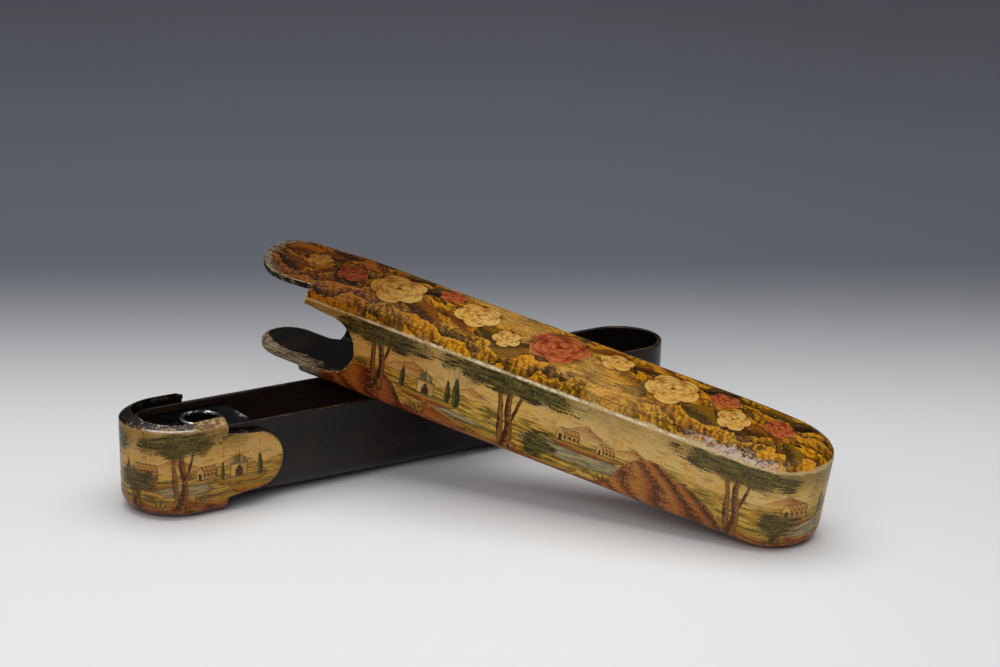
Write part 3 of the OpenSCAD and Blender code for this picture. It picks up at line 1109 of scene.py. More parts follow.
def wait_for(wires):
    """Adds a millionth of the paint below to each value of a motif. The look stays the same, but the motifs
    are worked out one after the other, and a long list of them fits in the renderer's small memory for
    values."""
    hold = parts(wires[0])[0] * MILLIONTH
    return [w + hold if w.socket.name in FIELDS else w for w in wires]


def tint(name):
    """One of the colours of the property group, with full opacity."""
    return tuple(getattr(bpy.context.scene.pen_box_colours, name)) + (1.0,)


@effect("Brushwork", "wobble_x wobble_y dabs strokes mottle spots")
def brushwork(vector):
    """Fields that a painting's motifs share: a wobble of the hand, dabs, long strokes, slow mottling and
    round spots, all from the painting's own millimetres."""
    x, y, z = parts(vector)
    bend = parts(noise(vector, 0.16, 3, 0.55, colour=True))
    wobble_x, wobble_y = (bend[0] - 0.5) * 3.0, (bend[1] - 0.5) * 2.4
    strokes = noise(together(x * 0.13, y * 0.9 + wobble_y * 0.3, z * 0.13), 1.0, 3, 0.6)
    spots = cells(together(x * 0.7, y, z), 0.8)[0]
    return wobble_x, wobble_y, noise(vector, 0.95, 3, 0.6), strokes, noise(vector, 0.05, 4, 0.6), spots


@effect("Countryside")
def countryside(y, dabs, strokes, mottle, spots):
    """Sky down to a horizon, striped fields below it and red earth along the lower edge."""
    cloud = (y + (strokes - 0.5) * 34 + (mottle - 0.5) * 22 + (dabs - 0.5) * 6).ramp(21, 36) * 0.85
    sky = over(tint("sky"), tint("cloud"), cloud)
    sky = over(sky, "ecd79a", strokes.ramp(0.53, 0.68) * y.ramp(31, 24) * 0.8)
    sky = over(sky, "6f6238", (strokes + (dabs - 0.5) * 0.5).ramp(0.47, 0.34) * 0.5)
    sky = over(sky, "8a6a35", mottle.ramp(0.5, 0.62) * dabs.ramp(0.4, 0.6) * 0.5)
    field = over(tint("field"), "d8bf62", strokes.ramp(0.45, 0.6))
    field = over(field, tint("leaf"), strokes.ramp(0.49, 0.4) * 0.85)
    field = over(field, "4d431d", spots.ramp(0.3, 0.2) * strokes.ramp(0.52, 0.44) * 0.8)
    field = over(field, "5d4420", (strokes - 0.5).line(0.008, 0.008) * 0.55)
    edge = (y - 18 + (mottle - 0.5) * 8 + (strokes - 0.5) * 3).ramp(0.8, -0.8)
    colour = over(sky, field, edge)
    earth = over(tint("rock"), "5f2f18", (dabs * 0.5 + strokes * 0.5).ramp(0.45, 0.56))
    earth = over(earth, "bf7a30", strokes.ramp(0.56, 0.64) * 0.8)
    return over(colour, earth, (y - 4.5 + (mottle - 0.5) * 26 + (strokes - 0.5) * 7).ramp(1.0, -1.0))


@effect("Far Hill")
def far_hill(under, x, y, strokes, at_x, at_y, width, height):
    """A pale hill on the horizon: a soft peak, shaded on its right, fading towards its foot."""
    a = (x - at_x) / width
    d = y - at_y - height * (1.0 - abs(a).power(0.85)).high(0.0)
    paint = over("caa06c", "9a6a40", (a + (strokes - 0.5) * 2.0).ramp(-0.2, 0.3))
    body = d.inside(0.2) * ((y - at_y) / height).ramp(-0.1, 0.7)
    return over(over(under, paint, body), "6b5032", d.line(0.13) * abs(a).ramp(0.9, 0.6) * 0.8)


@effect("Pond")
def pond(under, x, y, strokes, at_x, at_y, width, height):
    """Water: an oval with level streaks and a dark shore."""
    d = distance((x - at_x) / width, (y - at_y) / height) - 1.0 + (strokes - 0.5) * 1.2
    paint = over("7d8070", "b3b197", strokes.ramp(0.42, 0.58))
    return over(over(under, paint, d.inside(0.06)), "6e5a36", d.line(0.05, 0.03) * 0.8)


@effect("Bank")
def bank(under, x, y, dabs, strokes, at_x, at_y, width, height):
    """A bank of land: flat above, rounded below, green on top and red-brown towards its lower edge."""
    a, q = (x - at_x) / width, y - at_y
    foot = -height * (1.0 - a * a).high(0.0).root() + (dabs - 0.5) * 1.4
    d = q.high(foot - q)
    depth = -q / height
    paint = over(tint("leaf"), tint("field"), (depth + (strokes - 0.5)).ramp(0.05, 0.35))
    paint = over(paint, tint("rock"), (depth + (strokes - 0.5) * 1.4 + a * a * 0.3).ramp(0.45, 0.8))
    paint = over(paint, "4a2412", (foot - q).ramp(-0.5, 0.0))
    return over(under, paint, d.inside(0.12))


@effect("Rocks")
def rocks(under, x, y, dabs, strokes, spots, at_x, at_y, width, height):
    """A rocky hill: red-brown folds that fall to the right, lit from the left and dotted with dry bushes."""
    a, p, q = (x - at_x) / width, x - at_x, y - at_y
    rise = 1.0 - abs(a).power(1.7) + (a * 6.0 + at_x).sine() * 0.09 + (strokes - 0.5) * 0.3
    d = q - height * rise
    bends = (q * 0.33 + p * 0.12).sine() * 1.6
    fold = (p * 0.62 + q * 0.5 + bends + (dabs - 0.5) * 7.0 + (strokes - 0.5) * 4.0).sine()
    lit = fold * 0.27 + dabs * 0.8 + strokes * 0.5 - a * 0.2
    paint = over("5c3018", tint("rock"), lit.ramp(0.35, 0.62))
    paint = over(paint, "b8843f", lit.ramp(0.68, 0.95) * 0.85)
    paint = over(paint, "33190d", (fold + (strokes - 0.5) * 1.2).ramp(-0.65, -1.0) * 0.7)
    paint = over(paint, "40351a", spots.ramp(0.34, 0.22) * strokes.ramp(0.48, 0.58) * 0.5)
    colour = over(under, paint, d.inside(0.15))
    return over(colour, "3d1c0d", d.line(0.12) * strokes.ramp(0.4, 0.5) * 0.8)


@effect("Hillside")
def hillside(under, x, y, dabs, strokes, spots, at_x, at_y, width, height):
    """A long slope that falls from its left end, ploughed along its fall, ochre above and red below."""
    t = (x - at_x) / width
    top = at_y + height * (1.0 - t) - (t * 3.1).sine() * height * 0.15
    d = (y - top).high((abs(t - 0.5) - 0.5) * width)
    across = (y - top) * 1.3 + strokes * 4.0
    paint = over(tint("field"), tint("rock"), ((top - y) / height + (strokes - 0.5) * 1.5).ramp(-0.1, 0.4))
    paint = over(paint, "c98f3e", across.sine().ramp(0.2, 0.9) * 0.5)
    paint = over(paint, "572c14", (across + 1.2).sine().ramp(0.75, 0.98) * 0.6)
    paint = over(paint, "4b451d", spots.ramp(0.32, 0.22) * dabs.ramp(0.48, 0.58) * 0.85)
    colour = over(under, paint, d.inside(0.2) * t.ramp(1.0, 0.85))
    return over(colour, "462611", (y - top).line(0.1) * (0.5 - abs(t - 0.5)).ramp(0.0, 0.1) * 0.7)


@effect("House")
def house(under, x, y, strokes, at_x, at_y, width, height):
    """A small house: a gable with a door on the left, a long wall with windows, a hatched roof, ink
    outlines."""
    p, q = x - at_x, y - at_y
    gable, rise = width * 0.36, height * 0.6
    left = p + width * 0.5 - gable * 0.5
    front = (abs(left) - gable * 0.5).high(q - height - rise + abs(left) * rise * 2.0 / gable).high(-q)
    right = p - gable * 0.5
    wall = (abs(right) - (width - gable) * 0.5).high(q - height).high(-q)
    slope = (q - height) / rise
    roof = (height - q).high(q - height - rise)
    roof = roof.high(gable * (0.5 - slope * 0.5) - p - width * 0.5 + gable * 0.5)
    roof = roof.high(p - width * 0.52 + slope * 0.8)
    pane = (right * 2.6 / width * 2.0).do("PINGPONG", 1.0) - 0.5
    window = (abs(pane) * width * 0.2 - 0.42).high(abs(q - height * 0.55) - height * 0.17)
    door = (abs(left) - gable * 0.2).high(q - height * 0.75)
    colour = over(under, "b9965a", wall.inside())
    tiles = over("a27a45", "c9a562", (p * 4.0 + q * 3.0).sine().ramp(-0.3, 0.3))
    colour = over(colour, tiles, roof.inside())
    colour = over(colour, over("dcc58a", "c7aa6c", strokes.ramp(0.4, 0.6)), front.inside())
    colour = over(colour, "3a2614", window.high(wall).inside().high(door.high(front).inside()))
    ink = front.line(0.13).high(wall.line(0.12)).high(roof.line(0.14))
    return over(colour, "2f1f12", ink * 0.9)


@effect("Kiosk")
def kiosk(under, x, y, strokes, at_x, at_y, width, height):
    """A garden kiosk: a pale block with a pointed arch, a cornice and a ribbed dome with a finial."""
    p, q = x - at_x, y - at_y
    block = (abs(p) - width).high(q - height).high(-q)
    cornice = (abs(p) - width * 1.12).high(abs(q - height) - 0.35)
    dome = (distance(p / (width * 0.78), (q - height) / (width * 0.95)) - 1.0) * width
    dome = dome.high(height - q)
    finial = (abs(p) - 0.16).high(q - height - width * 1.45).high(height - q)
    arch = (abs(p) - width * 0.4 + (q - height * 0.45).high(0.0) * 0.55).high(q - height * 0.82)
    plaster = over("dfc990", "c3a464", (p + (strokes - 0.5) * 4).ramp(-1.5, 2.0))
    colour = over(under, plaster, block.inside())
    colour = over(colour, "4c3319", arch.high(block).inside())
    ribs = over("6f7458", "9a9a70", (p * 6.0 / width - (q - height) * p * 0.1).sine().ramp(-0.4, 0.6))
    colour = over(colour, ribs, dome.inside())
    colour = over(colour, "cbb074", cornice.inside())
    ink = block.line(0.12).high(cornice.line(0.1)).high(dome.line(0.12)).high(finial.inside())
    ink = ink.high(arch.line(0.1) * q.ramp(-0.1, 0.1))
    return over(colour, "2f1f12", ink * 0.9)


@effect("Cypress")
def cypress(under, x, y, dabs, at_x, at_y, height):
    """A cypress: a slim flame of dark dabs with a lighter left side."""
    p, t = x - at_x, (y - at_y) / height
    wide = height * 0.27 * (t * (1.0 - t)).high(0.0).root() * (1.25 - t * 0.7)
    d = abs(p) - wide + (dabs - 0.5) * 1.1
    paint = over("33371b", "63642f", (dabs - p / height * 3.0).ramp(0.4, 0.75))
    return over(under, paint, d.inside(0.15) * t.ramp(0.0, 0.03))


@effect("Tree")
def big_tree(under, x, y, dabs, strokes, at_x, at_y, tall, spread):
    """A spreading tree: three winding brown stems from one root, and a broad canopy of dabbed leaves."""
    p, q = x - at_x, y - at_y
    sway = (q * 0.24).sine() * 1.1
    wide = (2.1 - q * 0.045 + (2.5 - q).high(0.0) * 0.6) * (0.35 + spread * 0.03)
    one = p - q * 0.08 - sway
    two = p + q * 0.17 + sway * 0.5
    three = p - q * 0.3 + 1.3
    stems = (abs(one) - wide * 0.8).low(abs(two) - wide * 0.6).low((abs(three) - wide * 0.4).high(5.0 - q))
    trunk = stems.high(-q).high(q - tall)
    bark = over("452610", "8c6236", ((one + strokes * 5.0 - 2.5) * 1.6).sine().ramp(-0.5, 0.8))
    colour = over(under, bark, trunk.inside(0.12))
    colour = over(colour, "35190d", trunk.line(0.12) * 0.8)
    streak = dabs * 0.5 + strokes * 0.6 - 0.05
    crown = distance(p / spread, (q - tall - 1.2) / 4.4) + (dabs - 0.5) * 0.8 + (strokes - 0.5) * 2.2
    crown = crown + (p * 0.55).sine() * 0.13
    leaves = over("34351c", tint("leaf"), streak.ramp(0.42, 0.58))
    leaves = over(leaves, "8d8449", (streak + (q - tall) * 0.012).ramp(0.58, 0.7) * 0.8)
    return over(colour, leaves, crown.ramp(1.1, 0.85).high(crown.ramp(1.5, 1.2) * streak.ramp(0.52, 0.57)))


@effect("Tuft")
def tuft(under, x, y, at_x, at_y, size):
    """A tuft of grass: blades fanned out from one point."""
    p, q = x - at_x, y - at_y
    lean = angle_of(q, p)
    blades = (lean * 10.0).sine().ramp(0.1, 0.5) * abs(lean).ramp(1.3, 1.0)
    return over(under, "3f4523", blades * distance(p, q).ramp(size, size * 0.7) * 0.9)


@effect("Rose")
def rose(under, x, y, dabs, strokes, at_x, at_y, size, turn, light, dark):
    """A rose: five rings of scalloped petals. Each ring is light at its lip and darkens inwards and towards
    the clefts between its petals, and the whole flower is lit from one side."""
    p, q = (x - at_x) / size, (y - at_y) / size
    r, a = distance(p, q), angle_of(p, q) + turn
    brush = (dabs + strokes - 1.0) * 0.9 + p * 0.12 - q * 0.18
    colour = over(under, "2a160a", (r - 0.9).ramp(0.2, -0.05) * 0.75)
    for edge, count, phase in ((0.97, 5, 0.0), (0.78, 5, 0.6), (0.58, 4, 2.2), (0.4, 4, 0.7), (0.24, 3, 1.9)):
        lobe = abs((a * (count / 2) + phase).sine())
        depth = edge * (0.78 + lobe.power(0.6) * 0.22) - r + (strokes - 0.5) * 0.12
        shade = 1.0 - depth * 3.4 + (lobe - 0.75) * 0.7 + brush
        paint = over(dark, light, shade.ramp(0.05, 0.95))
        paint = over(paint, "f4e3b8", depth.ramp(0.06, 0.0) * shade.ramp(0.7, 1.0) * 0.5)
        colour = over(colour, paint, depth.ramp(-0.02, 0.04))
    return over(colour, "5a2a12", r.ramp(0.13, 0.04) * 0.8)


@effect("Leaf")
def leaf(under, x, y, dabs, strokes, at_x, at_y, size, turn, light, dark):
    """A curved leaf: wide in the middle, one half darker, with a rib, slanting veins and an ink edge."""
    p, q = x - at_x, y - at_y
    co, si = turn.cosine(), turn.sine()
    t = (p * co + q * si) / size
    s = (q * co - p * si) / size - (t * 3.1).sine() * 0.1
    d = (abs(s) - (t * (1.0 - t)).high(0.0).power(0.8) * 0.85 - (t * 19.0).sine() * 0.018) * size
    d = d.high(-t * size).high((t - 1.0) * size)
    veins = ((t - abs(s) * 1.3) * 42.0).sine().ramp(0.5, 0.95) * 0.5
    paint = over(dark, light, (s * 6.0 + t * 0.4 + (dabs + strokes - 1.0) * 2.0).ramp(-0.4, 0.7))
    paint = over(paint, dark, veins)
    colour = over(under, paint, d.inside(0.12))
    ink = d.line(0.1, 0.1).high((s * size).line(0.07) * d.inside()) * (strokes + dabs * 0.3).ramp(0.48, 0.6)
    return over(colour, "2a1a0c", ink * 0.6)


@effect("Gilded Ground")
def gilded(x, y, wobble_x, wobble_y, dabs, strokes, mottle):
    """Amber ground filled with foliage: winding tiers with scalloped tops, each light above, dark at its foot
    and striped by short upright strokes."""
    bent_x, bent_y = x + wobble_x * 2.2 + y * 0.5, y + wobble_y * 1.8 + (x * 0.07).sine() * 4.0
    lift = abs((bent_x * 0.2 + (bent_y * 0.3).sine() * 1.5).sine()) * 0.45
    t = bent_y / 7.0 + lift
    tier = t.fraction()
    row = t - tier
    pick = (row * 2.3 + x * 0.055 + wobble_y * 1.2).sine() * 0.5 + 0.5
    ribs = (bent_x * 2.0 + row * 2.1 + (strokes - 0.5) * 7.0).sine()
    light = (tier * 0.7 + 0.2 + ribs * 0.15 + (strokes + dabs - 1.0) * 0.8).ramp(0.0, 0.9)
    paint = over(tint("amber"), "aa8e32", pick.ramp(0.25, 0.4))
    paint = over(paint, "86742e", pick.ramp(0.55, 0.7))
    paint = over(paint, "dab968", pick.ramp(0.84, 0.95))
    shadow = over("4c340a", "3a3410", pick.ramp(0.5, 0.7))
    colour = over(shadow, paint, light)
    colour = over(colour, "f2e078", light.ramp(0.66, 0.95) * dabs.ramp(0.42, 0.6) * 0.8)
    colour = over(colour, "2f1c08", ribs.ramp(-0.8, -0.98) * tier.ramp(0.8, 0.3) * 0.35)
    colour = over(colour, "4a2f10", mottle.ramp(0.42, 0.33) * 0.35)
    return over(colour, "2c1a08", (tier + (strokes - 0.5) * 0.3).ramp(0.14, 0.0) * 0.7)


@effect("Scroll")
def scroll(under, x, y, wave, swing, start):
    """A winding stem with curling side shoots: a sine wave, and circles struck at its crests."""
    turn = (x - start) / wave * (2 * math.pi)
    d = (y - turn.sine() * swing) / (1.0 + (turn.cosine() * swing / wave * 5.0).power(2.0)).root()
    half = ((x - start) / wave * 2.0).fraction() - 0.5
    side = ((x - start) / wave).fraction().ramp(0.499, 0.501) * -2.0 + 1.0
    p, q = half * wave * 0.5, y - side * swing * 0.15
    curl = distance(p, q) - swing * 0.42 - angle_of(p, q) * 0.25
    ink = d.line(0.42, 0.1).high(curl.line(0.22, 0.1) * (q * side).ramp(-2.5, -1.0))
    colour = over(under, "35200d", ink * 0.9)
    return over(colour, "c89a45", (d - 0.08).line(0.13, 0.1) * 0.7)


@effect("Aged Varnish", "colour rough height")
def aged(colour, vector, amount):
    """Old varnish: an uneven amber glaze, fly specks, two sizes of hairline cracks and a faint orange-peel
    relief."""
    x, y, z = parts(vector)
    slow = noise(vector, 0.11, 3, 0.6)
    shaky = together(x + slow * 2.0, y + slow * 3.0, z)
    wide = cells(shaky, 0.23, "DISTANCE_TO_EDGE")[0].ramp(0.012, 0.002) * slow.ramp(0.46, 0.58)
    fine = cells(shaky, 0.75, "DISTANCE_TO_EDGE")[0].ramp(0.03, 0.006) * slow.ramp(0.52, 0.42)
    cracks = (wide + fine * 0.5) * amount
    grain = noise(vector, 1.9, 3, 0.65)
    colour = glaze(colour, tint("varnish"), 0.6 + slow.ramp(0.35, 0.65) * 0.4)
    colour = over(colour, "2c1a0c", grain.ramp(0.64, 0.74) * amount * 0.6)
    colour = over(colour, "3a2414", cracks * 0.5)
    hair = noise(together(x * 0.09 + z * 0.05, y * 0.4, z * 0.35), 1.0, 3, 0.6) - 0.5
    colour = over(colour, "d9c79c", hair.line(0.003, 0.003) * grain.ramp(0.44, 0.56) * amount * 0.6)
    rough = 0.22 + slow.ramp(0.35, 0.7) * 0.14 + grain.ramp(0.55, 0.7) * 0.14
    return colour, rough, slow * 0.5 + grain * 0.18 - cracks * 0.45


@effect("Worn Line", "mask")
def worn_line(away, width, soft, vector):
    """Wear along an edge: a strip whose width follows two sizes of noise, with chips."""
    reach = width * (0.2 + noise(vector, 0.12, 2, 0.6).ramp(0.3, 0.7) * 0.8
                     + (noise(vector, 1.3, 4, 0.7) - 0.5) * 3.0)
    return (away - reach).ramp(soft, -soft)


@effect("Black Lacquer", "colour rough height")
def lacquer(vector, along):
    """Black lacquer: faint brown rubbing, dust in specks, long scuffs along the box and a soft ripple."""
    _, y, z = parts(vector)
    slow = noise(vector, 0.07, 4, 0.6)
    scuff = noise(together(along * 0.035, y * 0.8, z * 0.8), 1.0, 4, 0.7)
    grain = noise(vector, 1.5, 3, 0.65)
    colour = over(tint("black"), "2a1c12", slow.ramp(0.5, 0.72) * 0.7)
    colour = over(colour, "41362c", scuff.ramp(0.62, 0.72) * 0.45)
    colour = over(colour, "6e6152", grain.ramp(0.68, 0.76) * slow.ramp(0.45, 0.6) * 0.5)
    rough = 0.2 + slow.ramp(0.35, 0.7) * 0.16 + scuff.ramp(0.5, 0.7) * 0.22
    return colour, rough, slow * 0.7 + scuff * 0.25 + grain * 0.1


@effect("Raw Board", "colour height")
def raw_board(vector):
    """Torn pasteboard: layers of grey-brown fibres with pale and dark ends."""
    x, y, z = parts(vector)
    layers = noise(together(x * 0.2, y * 0.75, z * 1.6), 1.0, 5, 0.7)
    fibre = noise(vector, 1.4, 4, 0.7)
    colour = over("33241a", tint("board"), (layers * 0.65 + fibre * 0.35).ramp(0.4, 0.54))
    colour = over(colour, "dccbb0", (layers * 0.5 + fibre * 0.5).ramp(0.55, 0.68))
    return colour, layers + fibre * 0.6


def new_material(name, **constants):
    """A material with one Principled shader. The constants go on the shader's own sockets."""
    material = bpy.data.materials.new(name)
    material.use_nodes = True
    shader = material.node_tree.nodes["Principled BSDF"]
    for title, value in constants.items():
        shader.inputs[title.replace("_", " ")].default_value = value
    return material


def attribute(material, name, output="Vector"):
    """One of the mesh's own attributes."""
    node = material.node_tree.nodes.new("ShaderNodeAttribute")
    node.attribute_name = name
    return Wire(material.node_tree, node.outputs[output])


def dress(material, colour, rough, height, depth):
    """Links colour, roughness and a bump of the given depth in millimetres to the material's shader."""
    tree = material.node_tree
    shader = tree.nodes["Principled BSDF"]
    join(colour, shader.inputs["Base Color"])
    join(rough, shader.inputs["Roughness"])
    bump = tree.nodes.new("ShaderNodeBump")
    bump.inputs["Distance"].default_value = depth * MM
    join(height, bump.inputs["Height"])
    tree.links.new(bump.outputs[0], shader.inputs["Normal"])
    return material


# What is painted on the case's sides, from back to front: each motif, then its places along the sides, with
# height and sizes
CASE_SIDES = (
    (far_hill, (47, 18, 15, 6), (72, 18, 10, 4), (118, 18, 13, 6.5), (137, 18, 9, 4), (196, 18, 12, 6),
     (221, 18, 10, 4.5), (258, 18, 13, 6), (318, 18, 14, 6), (352, 18, 9, 4), (404, 18, 12, 5.5)),
    (pond, (112, 11, 21, 3.4), (66, 7.5, 13, 2.6), (204, 10, 15, 3.4), (262, 9, 14, 3), (338, 10, 20, 3.6),
     (404, 8, 12, 3)),
    (bank, (118, 15.5, 16, 3), (54, 13, 13, 4), (200, 15, 13, 3), (257, 14, 12, 3.5), (322, 15, 16, 3.5),
     (398, 14, 13, 3.5)),
    (house, (111, 15.2, 9, 3.2), (126, 15, 7, 2.7)),
    (kiosk, (53, 12.6, 3.4, 5.2)),
    (house, (199, 14.6, 10, 3.6)),
    (kiosk, (318, 14.6, 3.2, 5)),
    (house, (330, 14.6, 8, 3), (256, 13.6, 9, 3.4), (400, 13.6, 9, 3.3)),
    (cypress, (62, 11.8, 10), (65.5, 11.4, 12.5), (43.5, 12, 9), (211, 13.6, 9.5), (214, 13.4, 7.5),
     (309, 14, 9), (246, 13, 9), (388, 13, 10)),
    (bank, (78, 8, 12, 5), (103, 5.5, 13, 4), (186, 8.5, 12, 5), (238, 7, 14, 5), (296, 8, 13, 5),
     (371, 8, 14, 5)),
    (hillside, (52, 2, 40, 9), (160, 1, 36, 11), (92, 0, 26, 6), (300, 1, 36, 10), (210, 1, 30, 8)),
    (rocks, (30, -1, 18, 17), (148, -3, 29, 23), (282, -2, 19, 16), (376, -2, 18, 15)),
    (big_tree, (86, 3, 25, 25), (176, 2.5, 25, 23), (33, 8, 20, 18), (232, 3, 25, 20), (304, 3, 25, 24),
     (390, 3, 25, 22), (193, 4, 7, 7), (100, 4, 5, 6)),
    (tuft, (97, 3, 4.5), (72, 2.5, 4), (126, 3.5, 5), (193, 3, 4.5), (51, 3.5, 4.5), (251, 3, 5), (326, 3, 5),
     (351, 3, 4)),
)

# What is painted on the head's sides
HEAD_SIDES = (
    (far_hill, (-20, 18, 11, 5), (22, 18, 12, 6), (46, 18, 9, 4), (-48, 18, 10, 5)),
    (pond, (25, 11, 11, 3), (54, 8, 9, 3), (-16, 9, 12, 3)),
    (bank, (8, 14.5, 14, 4), (48, 14, 11, 4), (-40, 14, 13, 4)),
    (house, (10, 14, 11, 4.2), (34, 14.4, 8, 3)),
    (kiosk, (47, 13.6, 3.2, 4.8)),
    (house, (-42, 13.6, 10, 3.6)),
    (cypress, (55.5, 12.6, 8.5), (40.5, 13, 7), (-28, 13, 9), (2.5, 13.6, 8)),
    (bank, (40, 8.5, 11, 6), (14, 7.5, 10, 5), (-6, 8, 13, 6)),
    (hillside, (24, 1, 40, 8), (-30, 1, 34, 8)),
    (rocks, (6, -2, 14, 8), (60, 0, 9, 9), (-55, -1, 12, 12), (36, -3, 24, 8)),
    (bank, (52, 11, 9, 4.5)),
    (big_tree, (24, 4, 23, 15), (-10, 3, 23, 13), (6, 4, 9, 8)),
    (tuft, (16, 3, 4.5), (31, 4, 4)),
)

# Light and dark paint of leaves and flowers
PALE, GREEN, BROWN, DARK, RED, GOLD = (
    ("e8d6a4", "a67e42"), ("8a7c34", "4a451c"), ("94742a", "46340f"),
    ("5a4e1e", "241c0c"), ("bd6a50", "7a2f22"), ("d2b04c", "765618"))

# What is painted on the domed top: leaves and then flowers, with place, size, turn and paint
TOP_LEAVES = (
    (10, 4, 15, 0.2, GOLD), (11, -3, 15, -0.5, BROWN), (22, 6, 14, 0.0, GREEN),
    (28, -9, 13, 0.9, GOLD), (32, 0, 15, -0.4, GREEN), (36, 8, 13, 2.7, BROWN),
    (46, -9, 13, 2.6, DARK), (50, 6, 16, 2.3, GOLD), (56, 8, 14, 0.5, GREEN),
    (66, -7, 16, -0.3, BROWN), (68, 3, 17, 0.5, DARK), (82, -3, 16, -0.5, GOLD),
    (86, 10, 13, 3.3, BROWN), (96, -6, 15, -0.4, GREEN), (100, 8, 14, 0.3, GOLD),
    (116, 6, 16, 2.5, DARK), (118, -6, 16, 3.7, GREEN), (134, 6, 16, 0.6, GOLD),
    (136, -4, 17, -0.5, BROWN), (129, 9, 11, 1.4, GREEN), (152, -9, 14, -0.1, DARK),
    (152, 5, 15, 0.2, BROWN), (160, -5, 15, 2.9, GOLD), (178, -7, 16, -0.3, GREEN),
    (180, 6, 15, 0.6, DARK), (168, 8, 14, 2.4, GOLD), (190, -4, 15, -0.5, BROWN),
    (201, 8, 14, 0.2, GREEN), (204, -2, 15, -0.2, GOLD), (200, -10, 12, 0.4, BROWN),
    (214, 4, 13, 0.9, DARK), (217, -5, 12, -0.8, GREEN),
)
TOP_ROSES = (
    (25, 2, 5, 0.4, PALE), (41, -2, 6, 1.7, RED), (60, -1, 11, 1.0, PALE),
    (78, 8, 5.5, 0.1, RED), (92, 1, 9, 2.0, PALE), (108, -7, 5.5, 0.9, PALE),
    (126, -0.5, 11.5, 0.5, RED), (147, 4, 6.5, 1.3, PALE), (171, 0, 10.5, 0.8, PALE),
    (189, 5, 6, 2.2, RED), (197, -5, 6.5, 0.3, PALE), (212, 1.5, 6, 0.6, RED),
)


def paint_landscape(tree, x, y, plan):
    """Paints a plan's motifs one over the other on the countryside."""
    fields = dict(zip(brushwork.gives, brushwork(tree, vector=together(x, y))))
    fields["x"], fields["y"] = x + fields["wobble_x"] * 0.4, y + fields["wobble_y"] * 0.4
    colour = countryside(tree, **{n: fields[n] for n in countryside.takes})
    for motif, *places in plan:
        shared = {n: fields[n] for n in motif.takes if n in fields}
        for at_x, at_y, *sizes in places:
            own = zip(motif.takes[-len(sizes):], map(float, sizes))
            colour = motif(tree, under=colour, at_x=float(at_x), at_y=float(at_y), **shared, **dict(own))
    return colour


def paint_flowers(tree, colour, motif, places, fields):
    """Paints leaves or flowers one over the other."""
    for at_x, at_y, size, turn, (light, dark) in places:
        colour = motif(tree, under=colour, at_x=float(at_x), at_y=float(at_y), size=float(size), turn=turn,
                       light=light, dark=dark, **fields)
    return colour


def crease_wear(own, crease, width):
    """Wear along the crease: a soft strip whose width changes slowly, with few chips. It is thin near the
    mouth."""
    width = width * (0.3 + parts(own)[0].ramp(70, 150) * 0.5)
    reach = width * (0.4 + noise(own, 0.09, 2, 0.6).ramp(0.35, 0.65) * 0.8
                     + (noise(own, 0.45, 3, 0.6) - 0.5) * 1.2)
    return (crease - reach).ramp(0.3, -0.3) * 0.85


def worn_edges(tree, own, rim, crease, width):
    """Wear along the crease and along the cut edges."""
    cut = worn_line(tree, away=rim, width=0.35, soft=0.14, vector=own)
    return crease_wear(own, crease, width).high(cut * 0.9)


def crease_glint(own, crease):
    """A thin, bright and broken line on the crease itself, along the middle of the box."""
    x = parts(own)[0]
    broken = noise(own, 0.5, 4, 0.7).ramp(0.44, 0.54)
    return crease.ramp(0.65, 0.25) * broken * x.ramp(45, 100) * (1.0 - x.ramp(195, 220) * 0.7) * 0.75


def ground_colour(own):
    """The worn ground: cream, gold and brown in fine crumbs."""
    crumbs = noise(own, 0.5, 5, 0.7)
    colour = over(tint("gesso"), "b98f45", crumbs.ramp(0.38, 0.52) * 0.85)
    colour = over(colour, "5f4320", crumbs.ramp(0.58, 0.7) * 0.7)
    # Painted highlights: near-white specks on the worn ground
    return over(colour, "fff4dc", noise(own, 1.4, 3, 0.6).ramp(0.62, 0.7) * 0.8)


def side_material(name, plan, flip=False):
    """Painted and varnished sides: a landscape, a worn crease, worn cut edges and rubbed lower edges."""
    material = new_material(name, Coat_Weight=0.06, Coat_Roughness=0.12, IOR=1.15)
    tree = material.node_tree
    own, rim = attribute(material, "own"), attribute(material, "rim", "Fac")
    x, y, crease = parts(attribute(material, "wrap"))
    colour = paint_landscape(tree, -x if flip else x, y, plan)
    colour = glaze(colour, "e6d6c2", 0.8) if flip else glaze(colour, "cba06a", x.ramp(85, 10) * 0.8)
    colour, rough, height = aged(tree, colour=colour, vector=own, amount=0.8)
    colour = over(colour, "d6be92", 0.04 if flip else x.ramp(85, 150) * 0.06)
    worn = worn_edges(tree, own, rim, crease, 0.4 if flip else 1.0)
    # A dark brown strip with ragged edges, about two millimetres above the underside
    foot = worn_line(tree, away=abs(y - 2.0), width=0.6, soft=0.2, vector=own)
    colour = over(over(colour, "5a3a1c", foot * 0.6), ground_colour(own), worn)
    if not flip:
        # Painted highlight along the crease
        colour = over(colour, "fbf0d2", crease_glint(own, crease))
        fibres, relief = raw_board(tree, vector=own)
        bare = torn_strip(own, rim, 9.0, 44.0)
        colour, rough, height = over(colour, fibres, bare), rough + bare * 0.3, height + relief * bare
    return dress(material, colour, rough + worn * 0.3, height - worn * 0.5, 0.08)


